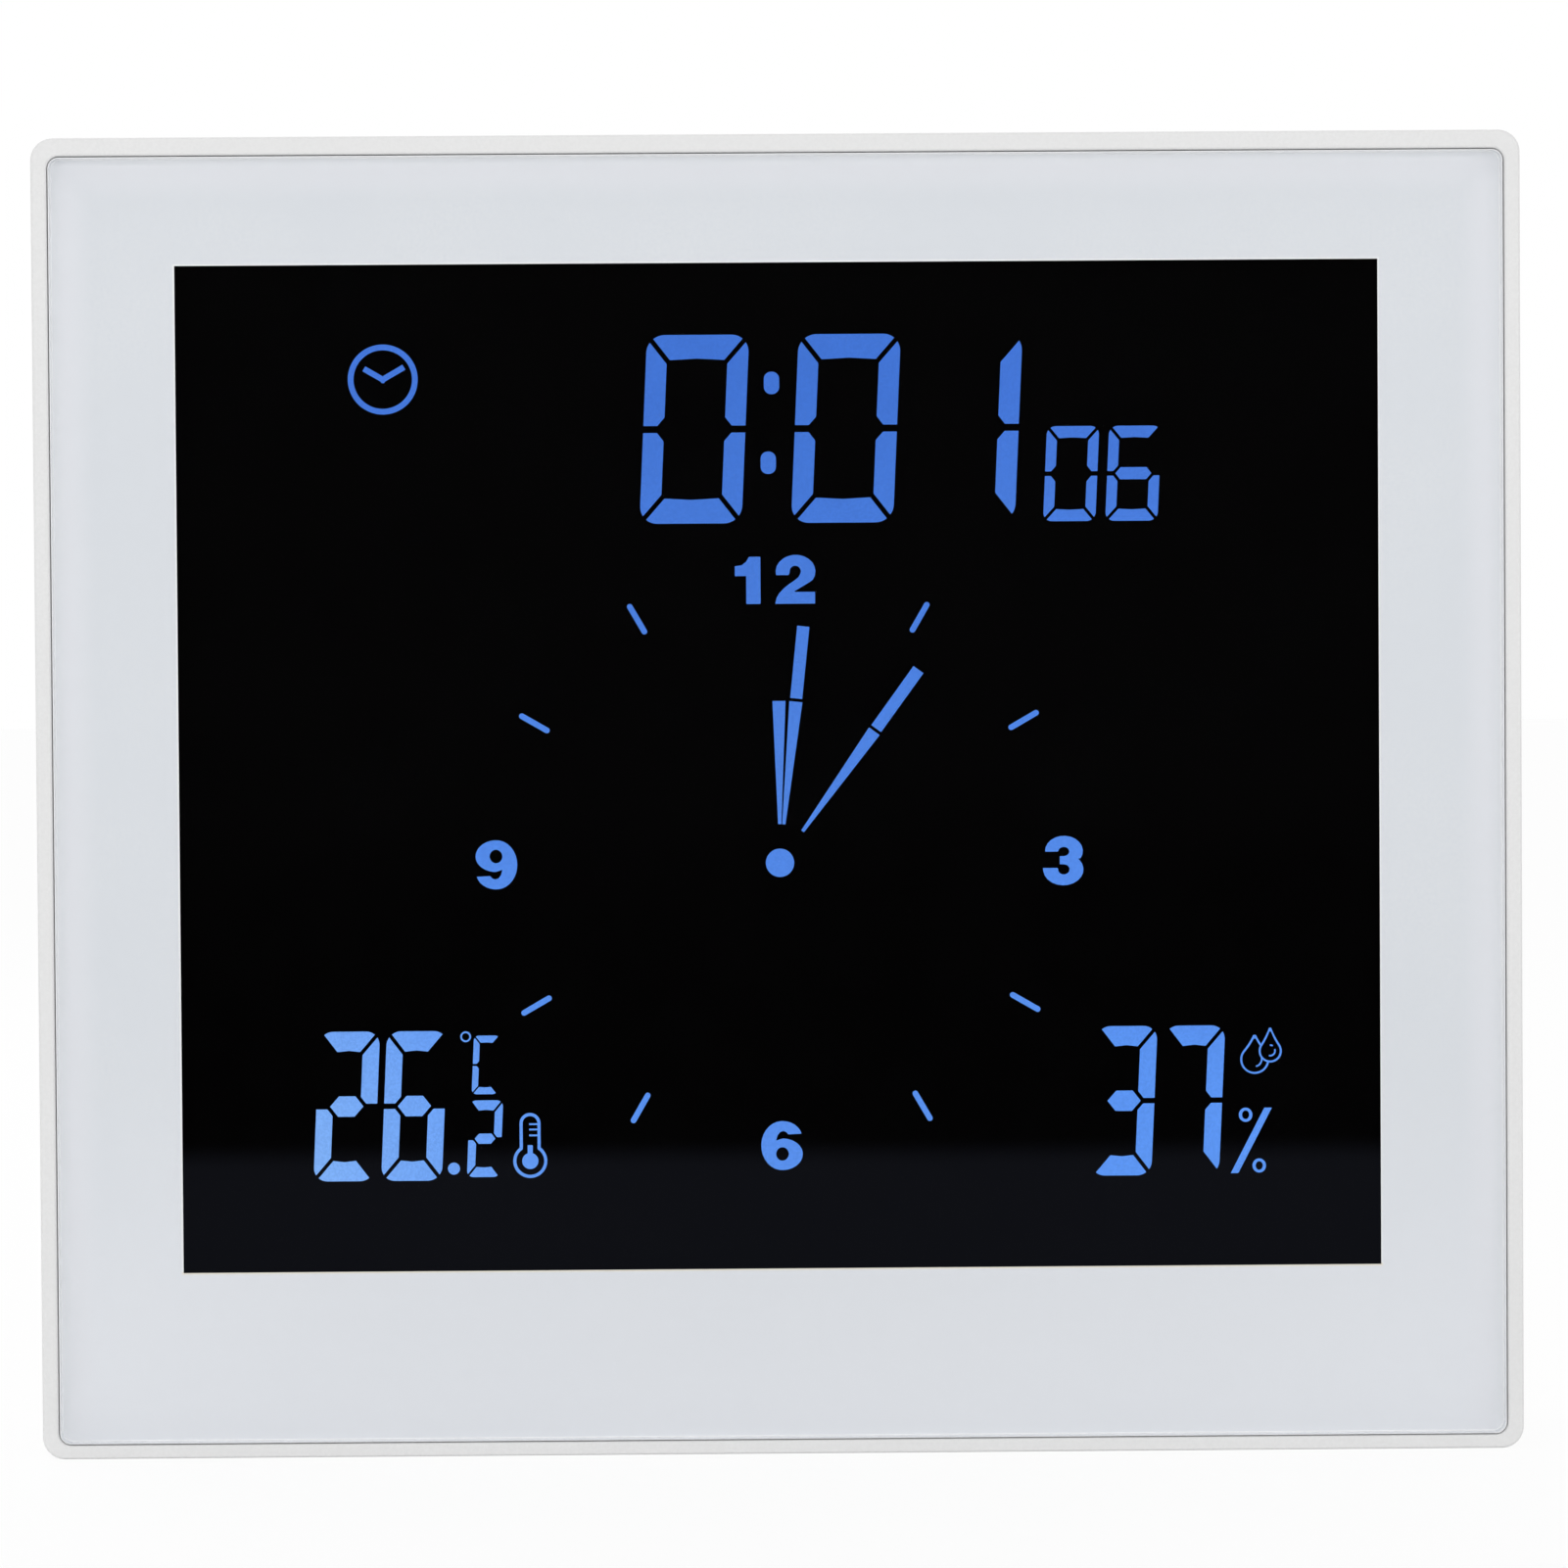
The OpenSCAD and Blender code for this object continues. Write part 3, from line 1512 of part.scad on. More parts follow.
front_case();
front_lens();
lens_print();
lens_tape();
lcd_front_polariser();
lcd_front_glass();
lcd_seal();
time_digits();
dial_marks();
clock_hands();
temperature_readout();
humidity_readout();
clock_sign();
lcd_rear_glass();
lcd_rear_polariser();
diffuser_sheet();
light_guide();
reflector_sheet();
backlight_tray();
led_board();
backlight_leds();
zebra_strip();
main_board();
processor_blob();
quartz_crystal();
buzzer();
capacitors();
chip_parts();
rear_switches();
snooze_switch();
usb_shell();
usb_tongue();
humidity_sensor();
thermistor();
board_screws();
rear_cover();
case_screws();
battery_door();
door_latch();
battery_cells();
battery_springs();
battery_contacts();
stand_leg();
stand_pin();
stand_foot();
snooze_button();
snooze_stem();
mode_key();
set_key();
up_key();
down_key();
alarm_key();
light_key();
mode_stem();
set_stem();
up_stem();
down_stem();
alarm_stem();
light_stem();
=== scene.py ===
import json
import math

import bmesh
import bpy
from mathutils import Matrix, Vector


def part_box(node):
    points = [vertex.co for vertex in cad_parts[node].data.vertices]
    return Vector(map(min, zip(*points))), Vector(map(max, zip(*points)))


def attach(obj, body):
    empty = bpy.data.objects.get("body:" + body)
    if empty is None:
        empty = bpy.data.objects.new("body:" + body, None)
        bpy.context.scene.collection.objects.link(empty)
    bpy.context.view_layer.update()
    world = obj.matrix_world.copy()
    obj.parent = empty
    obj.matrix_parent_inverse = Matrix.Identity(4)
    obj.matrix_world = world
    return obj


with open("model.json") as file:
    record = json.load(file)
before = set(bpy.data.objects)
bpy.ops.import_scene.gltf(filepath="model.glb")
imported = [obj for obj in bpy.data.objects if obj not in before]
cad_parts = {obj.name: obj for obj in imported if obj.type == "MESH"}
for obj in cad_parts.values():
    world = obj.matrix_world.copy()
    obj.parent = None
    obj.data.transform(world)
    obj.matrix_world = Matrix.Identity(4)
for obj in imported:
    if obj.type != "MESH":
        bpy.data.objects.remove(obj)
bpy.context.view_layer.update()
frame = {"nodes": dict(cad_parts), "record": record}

MM = 0.001
KEYS = ("mode", "set", "up", "down", "alarm", "light")
scene = bpy.context.scene
scene.view_settings.view_transform = "Standard"


def node_box(name):
    """Lowest and highest corner of a CAD node at rest, in millimetres."""
    low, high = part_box(name)
    return low / MM, high / MM


# Places that the materials need, taken from the frame, all in millimetres
lens_low, lens_high = node_box("front_lens")
film_low, film_high = node_box("lcd_rear_polariser")
cells_low, cells_high = node_box("battery_cells")
figures_y = node_box("time_digits")[0].y

# The display's film reaches this far behind the border of the window
FILM_LAP = Vector((1.5, 0.0, 1.5))
window_low = film_low + FILM_LAP
window_high = film_high - FILM_LAP


class Look:
    """One material, with short ways to add the nodes that it is made of."""

    def __init__(self, name):
        self.material = bpy.data.materials.new(name)
        self.material.use_nodes = True
        self.nodes = self.material.node_tree.nodes
        self.links = self.material.node_tree.links
        self.nodes.clear()
        self.place = self.nodes.new("ShaderNodeTexCoord").outputs["Object"]

    def add(self, kind, inputs=None, **settings):
        """Adds a node; an input may be a plain value or another node's output."""
        node = self.nodes.new("ShaderNode" + kind)
        for key, value in settings.items():
            setattr(node, key, value)
        for key, value in (inputs or {}).items():
            if isinstance(value, bpy.types.NodeSocket):
                self.links.new(value, node.inputs[key])
            else:
                node.inputs[key].default_value = value
        return node

    def noise(self, size_mm, detail=2.0, stretch=None):
        """Cloudy grain whose lumps are about size_mm across."""
        where = self.place
        if stretch:
            where = self.add("Mapping", {"Vector": where, "Scale": stretch}).outputs[0]
        inputs = {"Vector": where, "Scale": 1 / (size_mm * MM), "Detail": detail}
        return self.add("TexNoise", inputs).outputs[0]

    def cells(self, size_mm):
        """Distance to the middle of packed cells about size_mm across."""
        inputs = {"Vector": self.place, "Scale": 1 / (size_mm * MM)}
        return self.add("TexVoronoi", inputs).outputs["Distance"]

    def spread(self, value, low, high, start=0.3, end=0.7):
        """Turns start..end into low..high, smoothly and held at both ends."""
        inputs = {"Value": value, "From Min": start, "From Max": end, "To Min": low, "To Max": high}
        return self.add("MapRange", inputs, interpolation_type="SMOOTHSTEP").outputs[0]

    def fade(self, distance, start_mm, end_mm):
        """1 where the distance is start_mm or less, falling smoothly to 0 at end_mm."""
        return self.spread(distance, 1.0, 0.0, start_mm * MM, end_mm * MM)

    def step_at(self, distance, middle_mm, half_blur_mm):
        """0 before middle_mm and 1 after it, with a narrow blur between."""
        start = (middle_mm - half_blur_mm) * MM
        end = (middle_mm + half_blur_mm) * MM
        return self.spread(distance, 0.0, 1.0, start, end)

    def math(self, operation, first, second=0.0, third=0.0):
        """One step of arithmetic; each term may be a plain value or another node's output."""
        inputs = {0: first, 1: second, 2: third}
        return self.add("Math", inputs, operation=operation).outputs[0]

    def axes(self):
        """X, Y and Z of the point that is shaded, in metres."""
        return self.add("SeparateXYZ", {0: self.place}).outputs

    def mix(self, factor, first, second):
        """A colour between first and second, which are the node's sockets 6 and 7."""
        inputs = {0: factor, 6: colour(first), 7: colour(second)}
        return self.add("Mix", inputs, data_type="RGBA").outputs[2]

    def bump(self, height, depth_mm):
        """A normal tilted as a surface of this height would be."""
        inputs = {"Height": height, "Distance": depth_mm * MM, "Strength": 1.0}
        return self.add("Bump", inputs).outputs[0]

    def principled(self, inputs):
        """The main shader with these inputs."""
        return self.add("BsdfPrincipled", inputs)

    def see_through(self, share, tint, face):
        """Lets light of this tint pass, apart from the share that the face takes."""
        clear = self.add("BsdfTransparent", {"Color": colour(tint)})
        return self.add("MixShader", {0: share, 1: clear.outputs[0], 2: face.outputs[0]})

    def done(self, shader):
        """Sends the shader to the output and gives back the material."""
        output = self.add("OutputMaterial")
        self.links.new(shader.outputs[0], output.inputs["Surface"])
        return self.material


def colour(value):
    """A colour with its alpha; a node's output stays as it is."""
    if isinstance(value, bpy.types.NodeSocket):
        return value
    return (value[0], value[1], value[2], 1.0)


def scaled(value, factor):
    """A colour made lighter or darker."""
    return tuple(part * factor for part in value)


def moulded(name, base, roughness, grain_mm, depth_mm, speck):
    """Injection-moulded plastic with an eroded tool texture and faint flow clouds."""
    cloud_mm = 22.0
    cloud_share = 0.35
    cloud_tone = scaled(base, 0.97)
    rough_swing = 0.07
    look = Look(name)
    grain = look.noise(grain_mm, detail=3.0)
    cloud = look.noise(cloud_mm)
    fine = look.mix(look.spread(grain, 0.0, 1.0), scaled(base, 1 - speck), scaled(base, 1 + speck))
    tone = look.mix(look.spread(cloud, 0.0, cloud_share), fine, cloud_tone)
    rough = look.spread(grain, roughness - rough_swing, roughness + rough_swing)
    inputs = {"Base Color": tone, "Roughness": rough, "Normal": look.bump(grain, depth_mm)}
    return look.done(look.principled(inputs))


def bright_steel():
    """Drawn and plated steel with fine lines along one direction and faint stains."""
    base = (0.66, 0.65, 0.63)
    stained = scaled(base, 0.88)
    line_mm = 0.3
    line_stretch = (1.0, 5.0, 1.0)
    line_depth_mm = 0.004
    stain_mm = 3.0
    smooth_rough = (0.20, 0.38)
    look = Look("bright_steel")
    lines = look.noise(line_mm, detail=3.0, stretch=line_stretch)
    stain = look.noise(stain_mm, detail=3.0)
    tone = look.mix(look.spread(stain, 0.0, 1.0), stained, base)
    inputs = {"Base Color": tone, "Metallic": 1.0, "Roughness": look.spread(lines, *smooth_rough)}
    inputs["Normal"] = look.bump(lines, line_depth_mm)
    return look.done(look.principled(inputs))


def clear_lens():
    """Clear acrylic with a low-reflection coat, seen straight through and glossy only at a glance.
    Its cut walls throw the light back inside, as the edge of such a plate does."""
    mirror = (0.95, 0.96, 0.97)
    tint = (0.992, 0.994, 0.995)
    glance_power = 5.0
    glance_share = 0.55
    least_share = 0.0001
    wall_share = 0.94
    wall_tilt = 0.3
    haze_mm = 11.0
    smooth_rough = (0.02, 0.08)
    look = Look("lens_clear")
    facing = look.add("LayerWeight", {"Blend": 0.5}).outputs["Facing"]
    rise = look.math("POWER", facing, glance_power)
    face = look.math("MULTIPLY_ADD", rise, glance_share, least_share)
    normal = look.add("NewGeometry").outputs["True Normal"]
    across = look.add("SeparateXYZ", {0: normal}).outputs[1]
    wall = look.math("LESS_THAN", look.math("ABSOLUTE", across), wall_tilt)
    share = look.math("MAXIMUM", face, look.math("MULTIPLY", wall, wall_share))
    rough = look.spread(look.noise(haze_mm, detail=0.0), *smooth_rough)
    gloss = look.principled({"Base Color": colour(mirror), "Metallic": 1.0, "Roughness": rough})
    return look.done(look.see_through(share, tint, gloss))


def lens_edge_painted_highlight():
    """Cut and flamed edge of the lens, a little milky; its bright tone is a painted highlight."""
    # Painted highlight: these pale tones make the bevel round the lens a bright line
    tones = ((0.91, 0.92, 0.94), (0.95, 0.955, 0.97))
    saw_mm = 0.6
    saw_stretch = (1.0, 0.2, 1.0)
    saw_depth_mm = 0.004
    smooth_rough = (0.3, 0.4)
    look = Look("lens_edge_painted_highlight")
    saw = look.noise(saw_mm, stretch=saw_stretch)
    tone = look.mix(look.spread(saw, 0.0, 1.0), *tones)
    inputs = {"Base Color": tone, "Roughness": look.spread(saw, *smooth_rough)}
    inputs["Normal"] = look.bump(saw, saw_depth_mm)
    return look.done(look.principled(inputs))


def printed_border():
    """Cool white print on the back of the lens, painted paler low down and along the top and sides as
    painted light against the shade that falls there. The base coat shows as a fine line round the window."""
    cloud_tones = ((0.722, 0.744, 0.780), (0.744, 0.762, 0.792))
    cloud_mm = 16.0
    screen_tone = (0.708, 0.732, 0.772)
    screen_mm = 0.3
    screen_share = 0.8
    screen_depth_mm = 0.004
    # Painted light: these tones paint the print paler low down, where less light reaches it
    painted_light_low_tone = (0.800, 0.813, 0.852)
    painted_light_low_share = 0.8
    painted_light_low_reach_mm = 40
    # Painted light: these tones paint the print paler in a wide and a narrow band along the top and sides,
    # where the rim shades it
    painted_light_wide_tone = (0.790, 0.799, 0.836)
    painted_light_wide_reach_mm = (1.0, 4.2)
    painted_light_narrow_tone = (0.840, 0.855, 0.885)
    painted_light_narrow_reach_mm = (0.1, 1.3)
    coat_tones = ((0.84, 0.85, 0.86), (0.80, 0.76, 0.68))
    coat_reach_mm = (0.10, 0.20)
    coat_turn_mm = 0.2
    smooth_rough = (0.5, 0.62)

    look = Look("print_white")
    x, _, z = look.axes()
    side = look.math("SUBTRACT", lens_high.x * MM, look.math("ABSOLUTE", x))
    roof = look.math("SUBTRACT", lens_high.z * MM, z)
    sill = look.math("SUBTRACT", z, lens_low.z * MM)
    inward = look.math("MINIMUM", side, roof)
    screen = look.noise(screen_mm)
    cloud = look.noise(cloud_mm, detail=3.0)
    tone = look.mix(look.spread(cloud, 0.0, 1.0), *cloud_tones)
    fine = look.mix(look.spread(screen, 0.0, screen_share), tone, screen_tone)
    # Painted light laid on the print: paler low down
    painted_light_low_down = look.mix(look.spread(sill, painted_light_low_share, 0.0, 0.0, painted_light_low_reach_mm * MM), fine, painted_light_low_tone)
    # Painted light laid on the print: a wide and a narrow pale band along the top and sides
    painted_light_wide_band = look.mix(look.fade(inward, *painted_light_wide_reach_mm), painted_light_low_down, painted_light_wide_tone)
    painted_light_narrow_band = look.mix(look.fade(inward, *painted_light_narrow_reach_mm), painted_light_wide_band, painted_light_narrow_tone)

    beside = look.math("SUBTRACT", look.math("ABSOLUTE", x), window_high.x * MM)
    above = look.math("SUBTRACT", z, window_high.z * MM)
    below = look.math("SUBTRACT", window_low.z * MM, z)
    outward = look.math("MAXIMUM", beside, look.math("MAXIMUM", above, below))
    base_coat = look.mix(look.spread(below, 0.0, 1.0, -coat_turn_mm * MM, 0.0), *coat_tones)
    shaded = look.mix(look.fade(outward, *coat_reach_mm), painted_light_narrow_band, base_coat)
    inputs = {"Base Color": shaded, "Roughness": look.spread(screen, *smooth_rough)}
    inputs["Normal"] = look.bump(screen, screen_depth_mm)
    return look.done(look.principled(inputs))


def film(name, tint, share):
    """Thin optical film that is seen through, with a little haze of its own."""
    haze_mm = 4.0
    haze_tone = (0.01, 0.01, 0.012)
    smooth_rough = (0.3, 0.5)
    share_swing = 0.3
    look = Look(name)
    haze = look.noise(haze_mm, detail=0.0)
    inputs = {"Base Color": colour(haze_tone), "Roughness": look.spread(haze, *smooth_rough)}
    inputs["Specular IOR Level"] = 0.1
    face = look.principled(inputs)
    part = look.spread(haze, share * (1 - share_swing), share * (1 + share_swing))
    return look.done(look.see_through(part, tint, face))


def dark_field():
    """Dark back plate of the display. A trace of the light behind it comes through all over, and
    more along its lower edge, where the lamps are."""
    tones = ((0.0023, 0.0022, 0.0022), (0.0042, 0.0037, 0.0033))
    haze_mm = 26.0
    smooth_rough = (0.35, 0.5)
    faint_glow = (0.0006, 0.0005, 0.0005)
    lamp_glow = (0.0052, 0.0056, 0.0078)
    glow_height_mm = 8.9
    glow_blur_mm = 3.0
    look = Look("display_dark")
    z = look.axes()[2]
    haze = look.noise(haze_mm)
    tone = look.mix(look.spread(haze, 0.0, 1.0), *tones)
    glow_top = window_low.z + glow_height_mm
    low = look.fade(z, glow_top, glow_top + glow_blur_mm)
    inputs = {"Base Color": tone, "Roughness": look.spread(haze, *smooth_rough), "Specular IOR Level": 0.0}
    inputs["Emission Color"] = look.mix(low, faint_glow, lamp_glow)
    inputs["Emission Strength"] = 1.0
    return look.done(look.principled(inputs))


def lit_figures():
    """Blue segments lit from behind, a little brighter low down and towards the sides, and
    brightest low on the left, where the lamps are nearest."""
    middle_tones = ((0.112, 0.304, 0.91), (0.060, 0.188, 0.70))
    side_tones = ((0.122, 0.334, 0.97), (0.064, 0.196, 0.73))
    side_reach_mm = (6, 26)
    low_row = window_low.z + 11
    high_row = window_high.z - 12
    corner = Vector((window_low.x + 5, figures_y, window_low.z + 7))
    corner_tone = (0.235, 0.475, 1.0)
    corner_reach_mm = (8, 31)
    grain_mm = 0.22
    grain_tone = (0.03, 0.09, 0.36)
    grain_share = 0.16
    unlit_tone = (0.004, 0.006, 0.012)
    smooth_rough = (0.45, 0.6)

    look = Look("figures_blue")
    x, _, z = look.axes()
    rows = {"Value": z, "From Min": low_row * MM, "From Max": high_row * MM}
    height = look.add("MapRange", rows).outputs[0]
    middle = look.mix(height, *middle_tones)
    sides = look.mix(height, *side_tones)
    near_side, far_side = side_reach_mm
    beside = look.spread(look.math("ABSOLUTE", x), 0.0, 1.0, near_side * MM, far_side * MM)
    plain = look.mix(beside, middle, sides)
    span = {0: look.place, 1: corner * MM}
    away = look.add("VectorMath", span, operation="DISTANCE").outputs["Value"]
    near, far = corner_reach_mm
    spot = {"Value": away, "From Min": near * MM, "From Max": far * MM, "To Min": 1.0, "To Max": 0.0}
    bright = look.mix(look.add("MapRange", spot).outputs[0], plain, corner_tone)
    grain = look.noise(grain_mm)
    inputs = {"Base Color": colour(unlit_tone), "Roughness": look.spread(grain, *smooth_rough)}
    inputs["Specular IOR Level"] = 0.1
    inputs["Emission Color"] = look.mix(look.spread(grain, 0.0, grain_share), bright, grain_tone)
    inputs["Emission Strength"] = 1.14
    return look.done(look.principled(inputs))


def circuit_board():
    """Glass-epoxy board under green solder mask, with its weave and faint copper runs."""
    mask_tones = ((0.016, 0.11, 0.045), (0.010, 0.070, 0.032))
    run_mm = 3.4
    run_edge = (0.28, 0.34)
    weave_tone = (0.03, 0.14, 0.07)
    weave_share = 0.25
    weave_radians_per_metre = 9000.0
    weave_depth_mm = 0.006
    smooth_rough = (0.28, 0.42)
    look = Look("board_green")
    x, _, z = look.axes()
    warp = look.math("SINE", look.math("MULTIPLY", x, weave_radians_per_metre))
    weft = look.math("SINE", look.math("MULTIPLY", z, weave_radians_per_metre))
    weave = look.math("MULTIPLY", warp, weft)
    mask = look.mix(look.spread(look.cells(run_mm), 0.0, 1.0, *run_edge), *mask_tones)
    tone = look.mix(look.spread(weave, 0.0, weave_share, -1.0, 1.0), mask, weave_tone)
    inputs = {"Base Color": tone, "Roughness": look.spread(weave, *smooth_rough, -1.0, 1.0)}
    inputs["Normal"] = look.bump(weave, weave_depth_mm)
    return look.done(look.principled(inputs))


def cell_jacket():
    """Round cells: dark printed sleeve with a plain band at the head, and steel at the nub. The
    cell in the middle row lies the other way round."""
    sleeve_tones = ((0.034, 0.038, 0.046), (0.042, 0.046, 0.055))
    band_tone = (0.50, 0.36, 0.13)
    steel_tone = (0.58, 0.57, 0.55)
    band_start = cells_high.x - 10.2
    steel_start = cells_high.x - 1.3
    half_blur_mm = 0.1
    scuff_mm = 1.4
    scuff_depth_mm = 0.003
    sleeve_metal = 0.35
    smooth_rough = (0.29, 0.38)
    middle_row = (cells_low.z + cells_high.z) / 2
    half_row = (cells_high.z - cells_low.z) / 6

    look = Look("cell_jacket")
    x, _, z = look.axes()
    off = look.math("ABSOLUTE", look.math("SUBTRACT", z, middle_row * MM))
    turned = look.math("LESS_THAN", off, half_row * MM)
    along = look.math("MULTIPLY", x, look.math("MULTIPLY_ADD", turned, -2.0, 1.0))
    scuff = look.noise(scuff_mm, detail=4.0)
    sleeve = look.mix(look.spread(scuff, 0.0, 1.0), *sleeve_tones)
    banded = look.mix(look.step_at(along, band_start, half_blur_mm), sleeve, band_tone)
    steel = look.step_at(along, steel_start, half_blur_mm)
    inputs = {"Base Color": look.mix(steel, banded, steel_tone)}
    inputs["Metallic"] = look.spread(steel, sleeve_metal, 1.0, 0.0, 1.0)
    inputs["Roughness"] = look.spread(scuff, *smooth_rough)
    inputs["Normal"] = look.bump(scuff, scuff_depth_mm)
    return look.done(look.principled(inputs))


def light_guide():
    """Clear acrylic plate with rows of etched dots that send the light forward."""
    plain_tone = (0.70, 0.74, 0.78)
    dot_tone = (0.92, 0.93, 0.95)
    dot_mm = 0.9
    dot_edge = (0.18, 0.3)
    dot_depth_mm = 0.01
    dot_rough = 0.4
    plain_rough = 0.12
    look = Look("guide_clear")
    dots = look.cells(dot_mm)
    tone = look.mix(look.spread(dots, 1.0, 0.0, *dot_edge), plain_tone, dot_tone)
    inputs = {"Base Color": tone, "Roughness": look.spread(dots, dot_rough, plain_rough, *dot_edge)}
    inputs["Alpha"] = 0.5
    inputs["Normal"] = look.bump(dots, dot_depth_mm)
    return look.done(look.principled(inputs))


# Moulded slots: colour, roughness, size and depth of the grain in millimetres, and speckle
moulded_slots = {
    "case_white": ((0.775, 0.775, 0.775), 0.52, 0.28, 0.012, 0.02),
    "key_white": ((0.765, 0.77, 0.775), 0.42, 0.2, 0.006, 0.012),
    "tape_black": ((0.012, 0.012, 0.013), 0.85, 0.15, 0.03, 0.3),
    "seal_grey": ((0.11, 0.115, 0.12), 0.6, 0.4, 0.01, 0.1),
    "film_white": ((0.86, 0.865, 0.87), 0.6, 0.5, 0.004, 0.015),
    "tray_white": ((0.78, 0.785, 0.79), 0.45, 0.35, 0.008, 0.015),
    "lamp_yellow": ((0.74, 0.60, 0.16), 0.3, 0.5, 0.006, 0.05),
    "zebra_rubber": ((0.20, 0.20, 0.21), 0.7, 0.3, 0.012, 0.15),
    "resin_black": ((0.020, 0.020, 0.022), 0.42, 0.4, 0.012, 0.15),
    "capacitor_blue": ((0.035, 0.06, 0.16), 0.32, 0.8, 0.006, 0.1),
    "chip_brown": ((0.30, 0.20, 0.13), 0.4, 0.3, 0.008, 0.12),
    "sensor_blue": ((0.16, 0.36, 0.56), 0.4, 0.5, 0.01, 0.06),
    "bead_brown": ((0.10, 0.055, 0.03), 0.3, 0.5, 0.008, 0.12),
    "foot_rubber": ((0.055, 0.055, 0.058), 0.82, 0.22, 0.03, 0.15),
}
looks = {name: moulded(name, *settings) for name, settings in moulded_slots.items()}
looks["lens_clear"] = clear_lens()
looks["print_white"] = printed_border()
looks["film_dark"] = film("film_dark", tint=(0.95, 0.95, 0.95), share=0.015)
looks["display_glass"] = film("display_glass", tint=(0.985, 0.99, 0.99), share=0.004)
looks["figures_blue"] = lit_figures()
looks["guide_clear"] = light_guide()
looks["board_green"] = circuit_board()
looks["bright_steel"] = bright_steel()
looks["cell_jacket"] = cell_jacket()
node_looks = {"lcd_rear_glass": dark_field()}


def dress_nodes():
    """Gives every CAD node the material of its slot, or one of its own."""
    slot_of = {part["node"]: part["material_slot"] for part in frame["record"]["subparts"]}
    for name, piece in frame["nodes"].items():
        look = node_looks.get(name) or looks[slot_of[name]]
        if not piece.material_slots:
            piece.data.materials.append(look)
        for place in piece.material_slots:
            place.material = look


def join_points(piece):
    """Joins the points that a CAD node's faces share, with a modifier."""
    reach_mm = 0.001
    weld = piece.modifiers.new("join", "WELD")
    weld.merge_threshold = reach_mm * MM


def soften(name, width_mm, steps=3, edge_look=None):
    """Rounds the sharp edges of a CAD node with modifiers; its own mesh stays as it is."""
    flat_angle = math.radians(0.5)
    sharp_angle = math.radians(35.0)
    piece = frame["nodes"][name]
    join_points(piece)
    flat = piece.modifiers.new("flat", "DECIMATE")
    flat.decimate_type = "DISSOLVE"
    flat.angle_limit = flat_angle
    bevel = piece.modifiers.new("round", "BEVEL")
    bevel.width = width_mm * MM
    bevel.segments = steps
    bevel.limit_method = "ANGLE"
    bevel.angle_limit = sharp_angle
    bevel.use_clamp_overlap = False
    bevel.miter_outer = "MITER_ARC"
    if edge_look:
        piece.data.materials.append(edge_look)
        bevel.material = 1
    normals = piece.modifiers.new("normals", "WEIGHTED_NORMAL")
    normals.keep_sharp = False
    normals.weight = 90


def draw_in(name, depth_mm):
    """Pulls a clear node's faces in by a hair, so that none lies on a neighbour's face."""
    piece = frame["nodes"][name]
    join_points(piece)
    shift = piece.modifiers.new("draw in", "DISPLACE")
    shift.mid_level = 0.0
    shift.strength = -depth_mm * MM


dress_nodes()
soften("front_case", width_mm=0.26)
soften("battery_door", width_mm=0.18)
soften("door_latch", width_mm=0.15)
soften("stand_leg", width_mm=0.3)
soften("stand_foot", width_mm=0.3)
soften("snooze_button", width_mm=0.2)
for key in KEYS:
    soften(key + "_key", width_mm=0.25)
draw_in("front_lens", depth_mm=0.005)
# The bevel round the lens gets the painted highlight
soften("front_lens", width_mm=0.08, steps=2, edge_look=lens_edge_painted_highlight())
draw_in("lcd_front_polariser", depth_mm=0.02)
draw_in("lcd_front_glass", depth_mm=0.02)


# Signs and ridges start a hair below the surface that carries them, all in millimetres
ROOT = 0.04
SIGN_RISE = 0.1
SIGN_TAPER = 0.9
RING_SLOPE = 0.06
BACK = Vector((0, 1, 0))
TOP = Vector((0, 0, 1))


def new_piece(name, work, body, slot):
    """Makes a mesh object from a bmesh and lets it ride on a body."""
    mesh = bpy.data.meshes.new(name)
    bmesh.ops.recalc_face_normals(work, faces=work.faces)
    work.to_mesh(mesh)
    work.free()
    for face in mesh.polygons:
        face.use_smooth = True
    piece = bpy.data.objects.new(name, mesh)
    scene.collection.objects.link(piece)
    piece.data.materials.append(looks[slot])
    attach(piece, body)


def ridge(work, middle, up, half_length, half_width, rise):
    """Adds a domed bar along X with round ends; up is the direction in which it rises."""
    sides = 9
    end_steps = 5
    across = Vector((1, 0, 0)).cross(up)
    half = []
    for i in range(end_steps):
        turn = math.pi / 2 * i / end_steps
        half.append((half_length - half_width * (1 - math.sin(turn)), math.cos(turn)))
    stations = [(-x, full) for x, full in reversed(half)] + half
    rings = []
    for x, full in stations:
        ring = []
        for j in range(sides):
            bow = math.pi * j / (sides - 1)
            side = half_width * full * math.cos(bow)
            top = rise * full * math.sin(bow) - ROOT * (1 - math.sin(bow))
            spot = middle + Vector((x, 0, 0)) + across * side + up * top
            ring.append(work.verts.new(spot * MM))
        rings.append(ring)
    for before, after in zip(rings, rings[1:]):
        for j in range(sides):
            k = (j + 1) % sides
            work.faces.new((before[j], before[k], after[k], after[j]))
    work.faces.new(rings[0])
    work.faces.new(rings[-1])


def outline_plate(work, points, spot):
    """Adds a thin raised sign with a sloping edge; spot is on a face that looks to the back."""
    middle = Vector((sum(x for x, _ in points), 0, sum(z for _, z in points))) / len(points)
    low = []
    high = []
    for x, z in points:
        outer = Vector((x, 0, z))
        inner = middle + (outer - middle) * SIGN_TAPER
        low.append(work.verts.new((spot + outer - BACK * ROOT) * MM))
        high.append(work.verts.new((spot + inner + BACK * SIGN_RISE) * MM))
    count = len(points)
    for i in range(count):
        k = (i + 1) % count
        work.faces.new((low[i], low[k], high[k], high[i]))
    work.faces.new(high)
    work.faces.new(low[::-1])


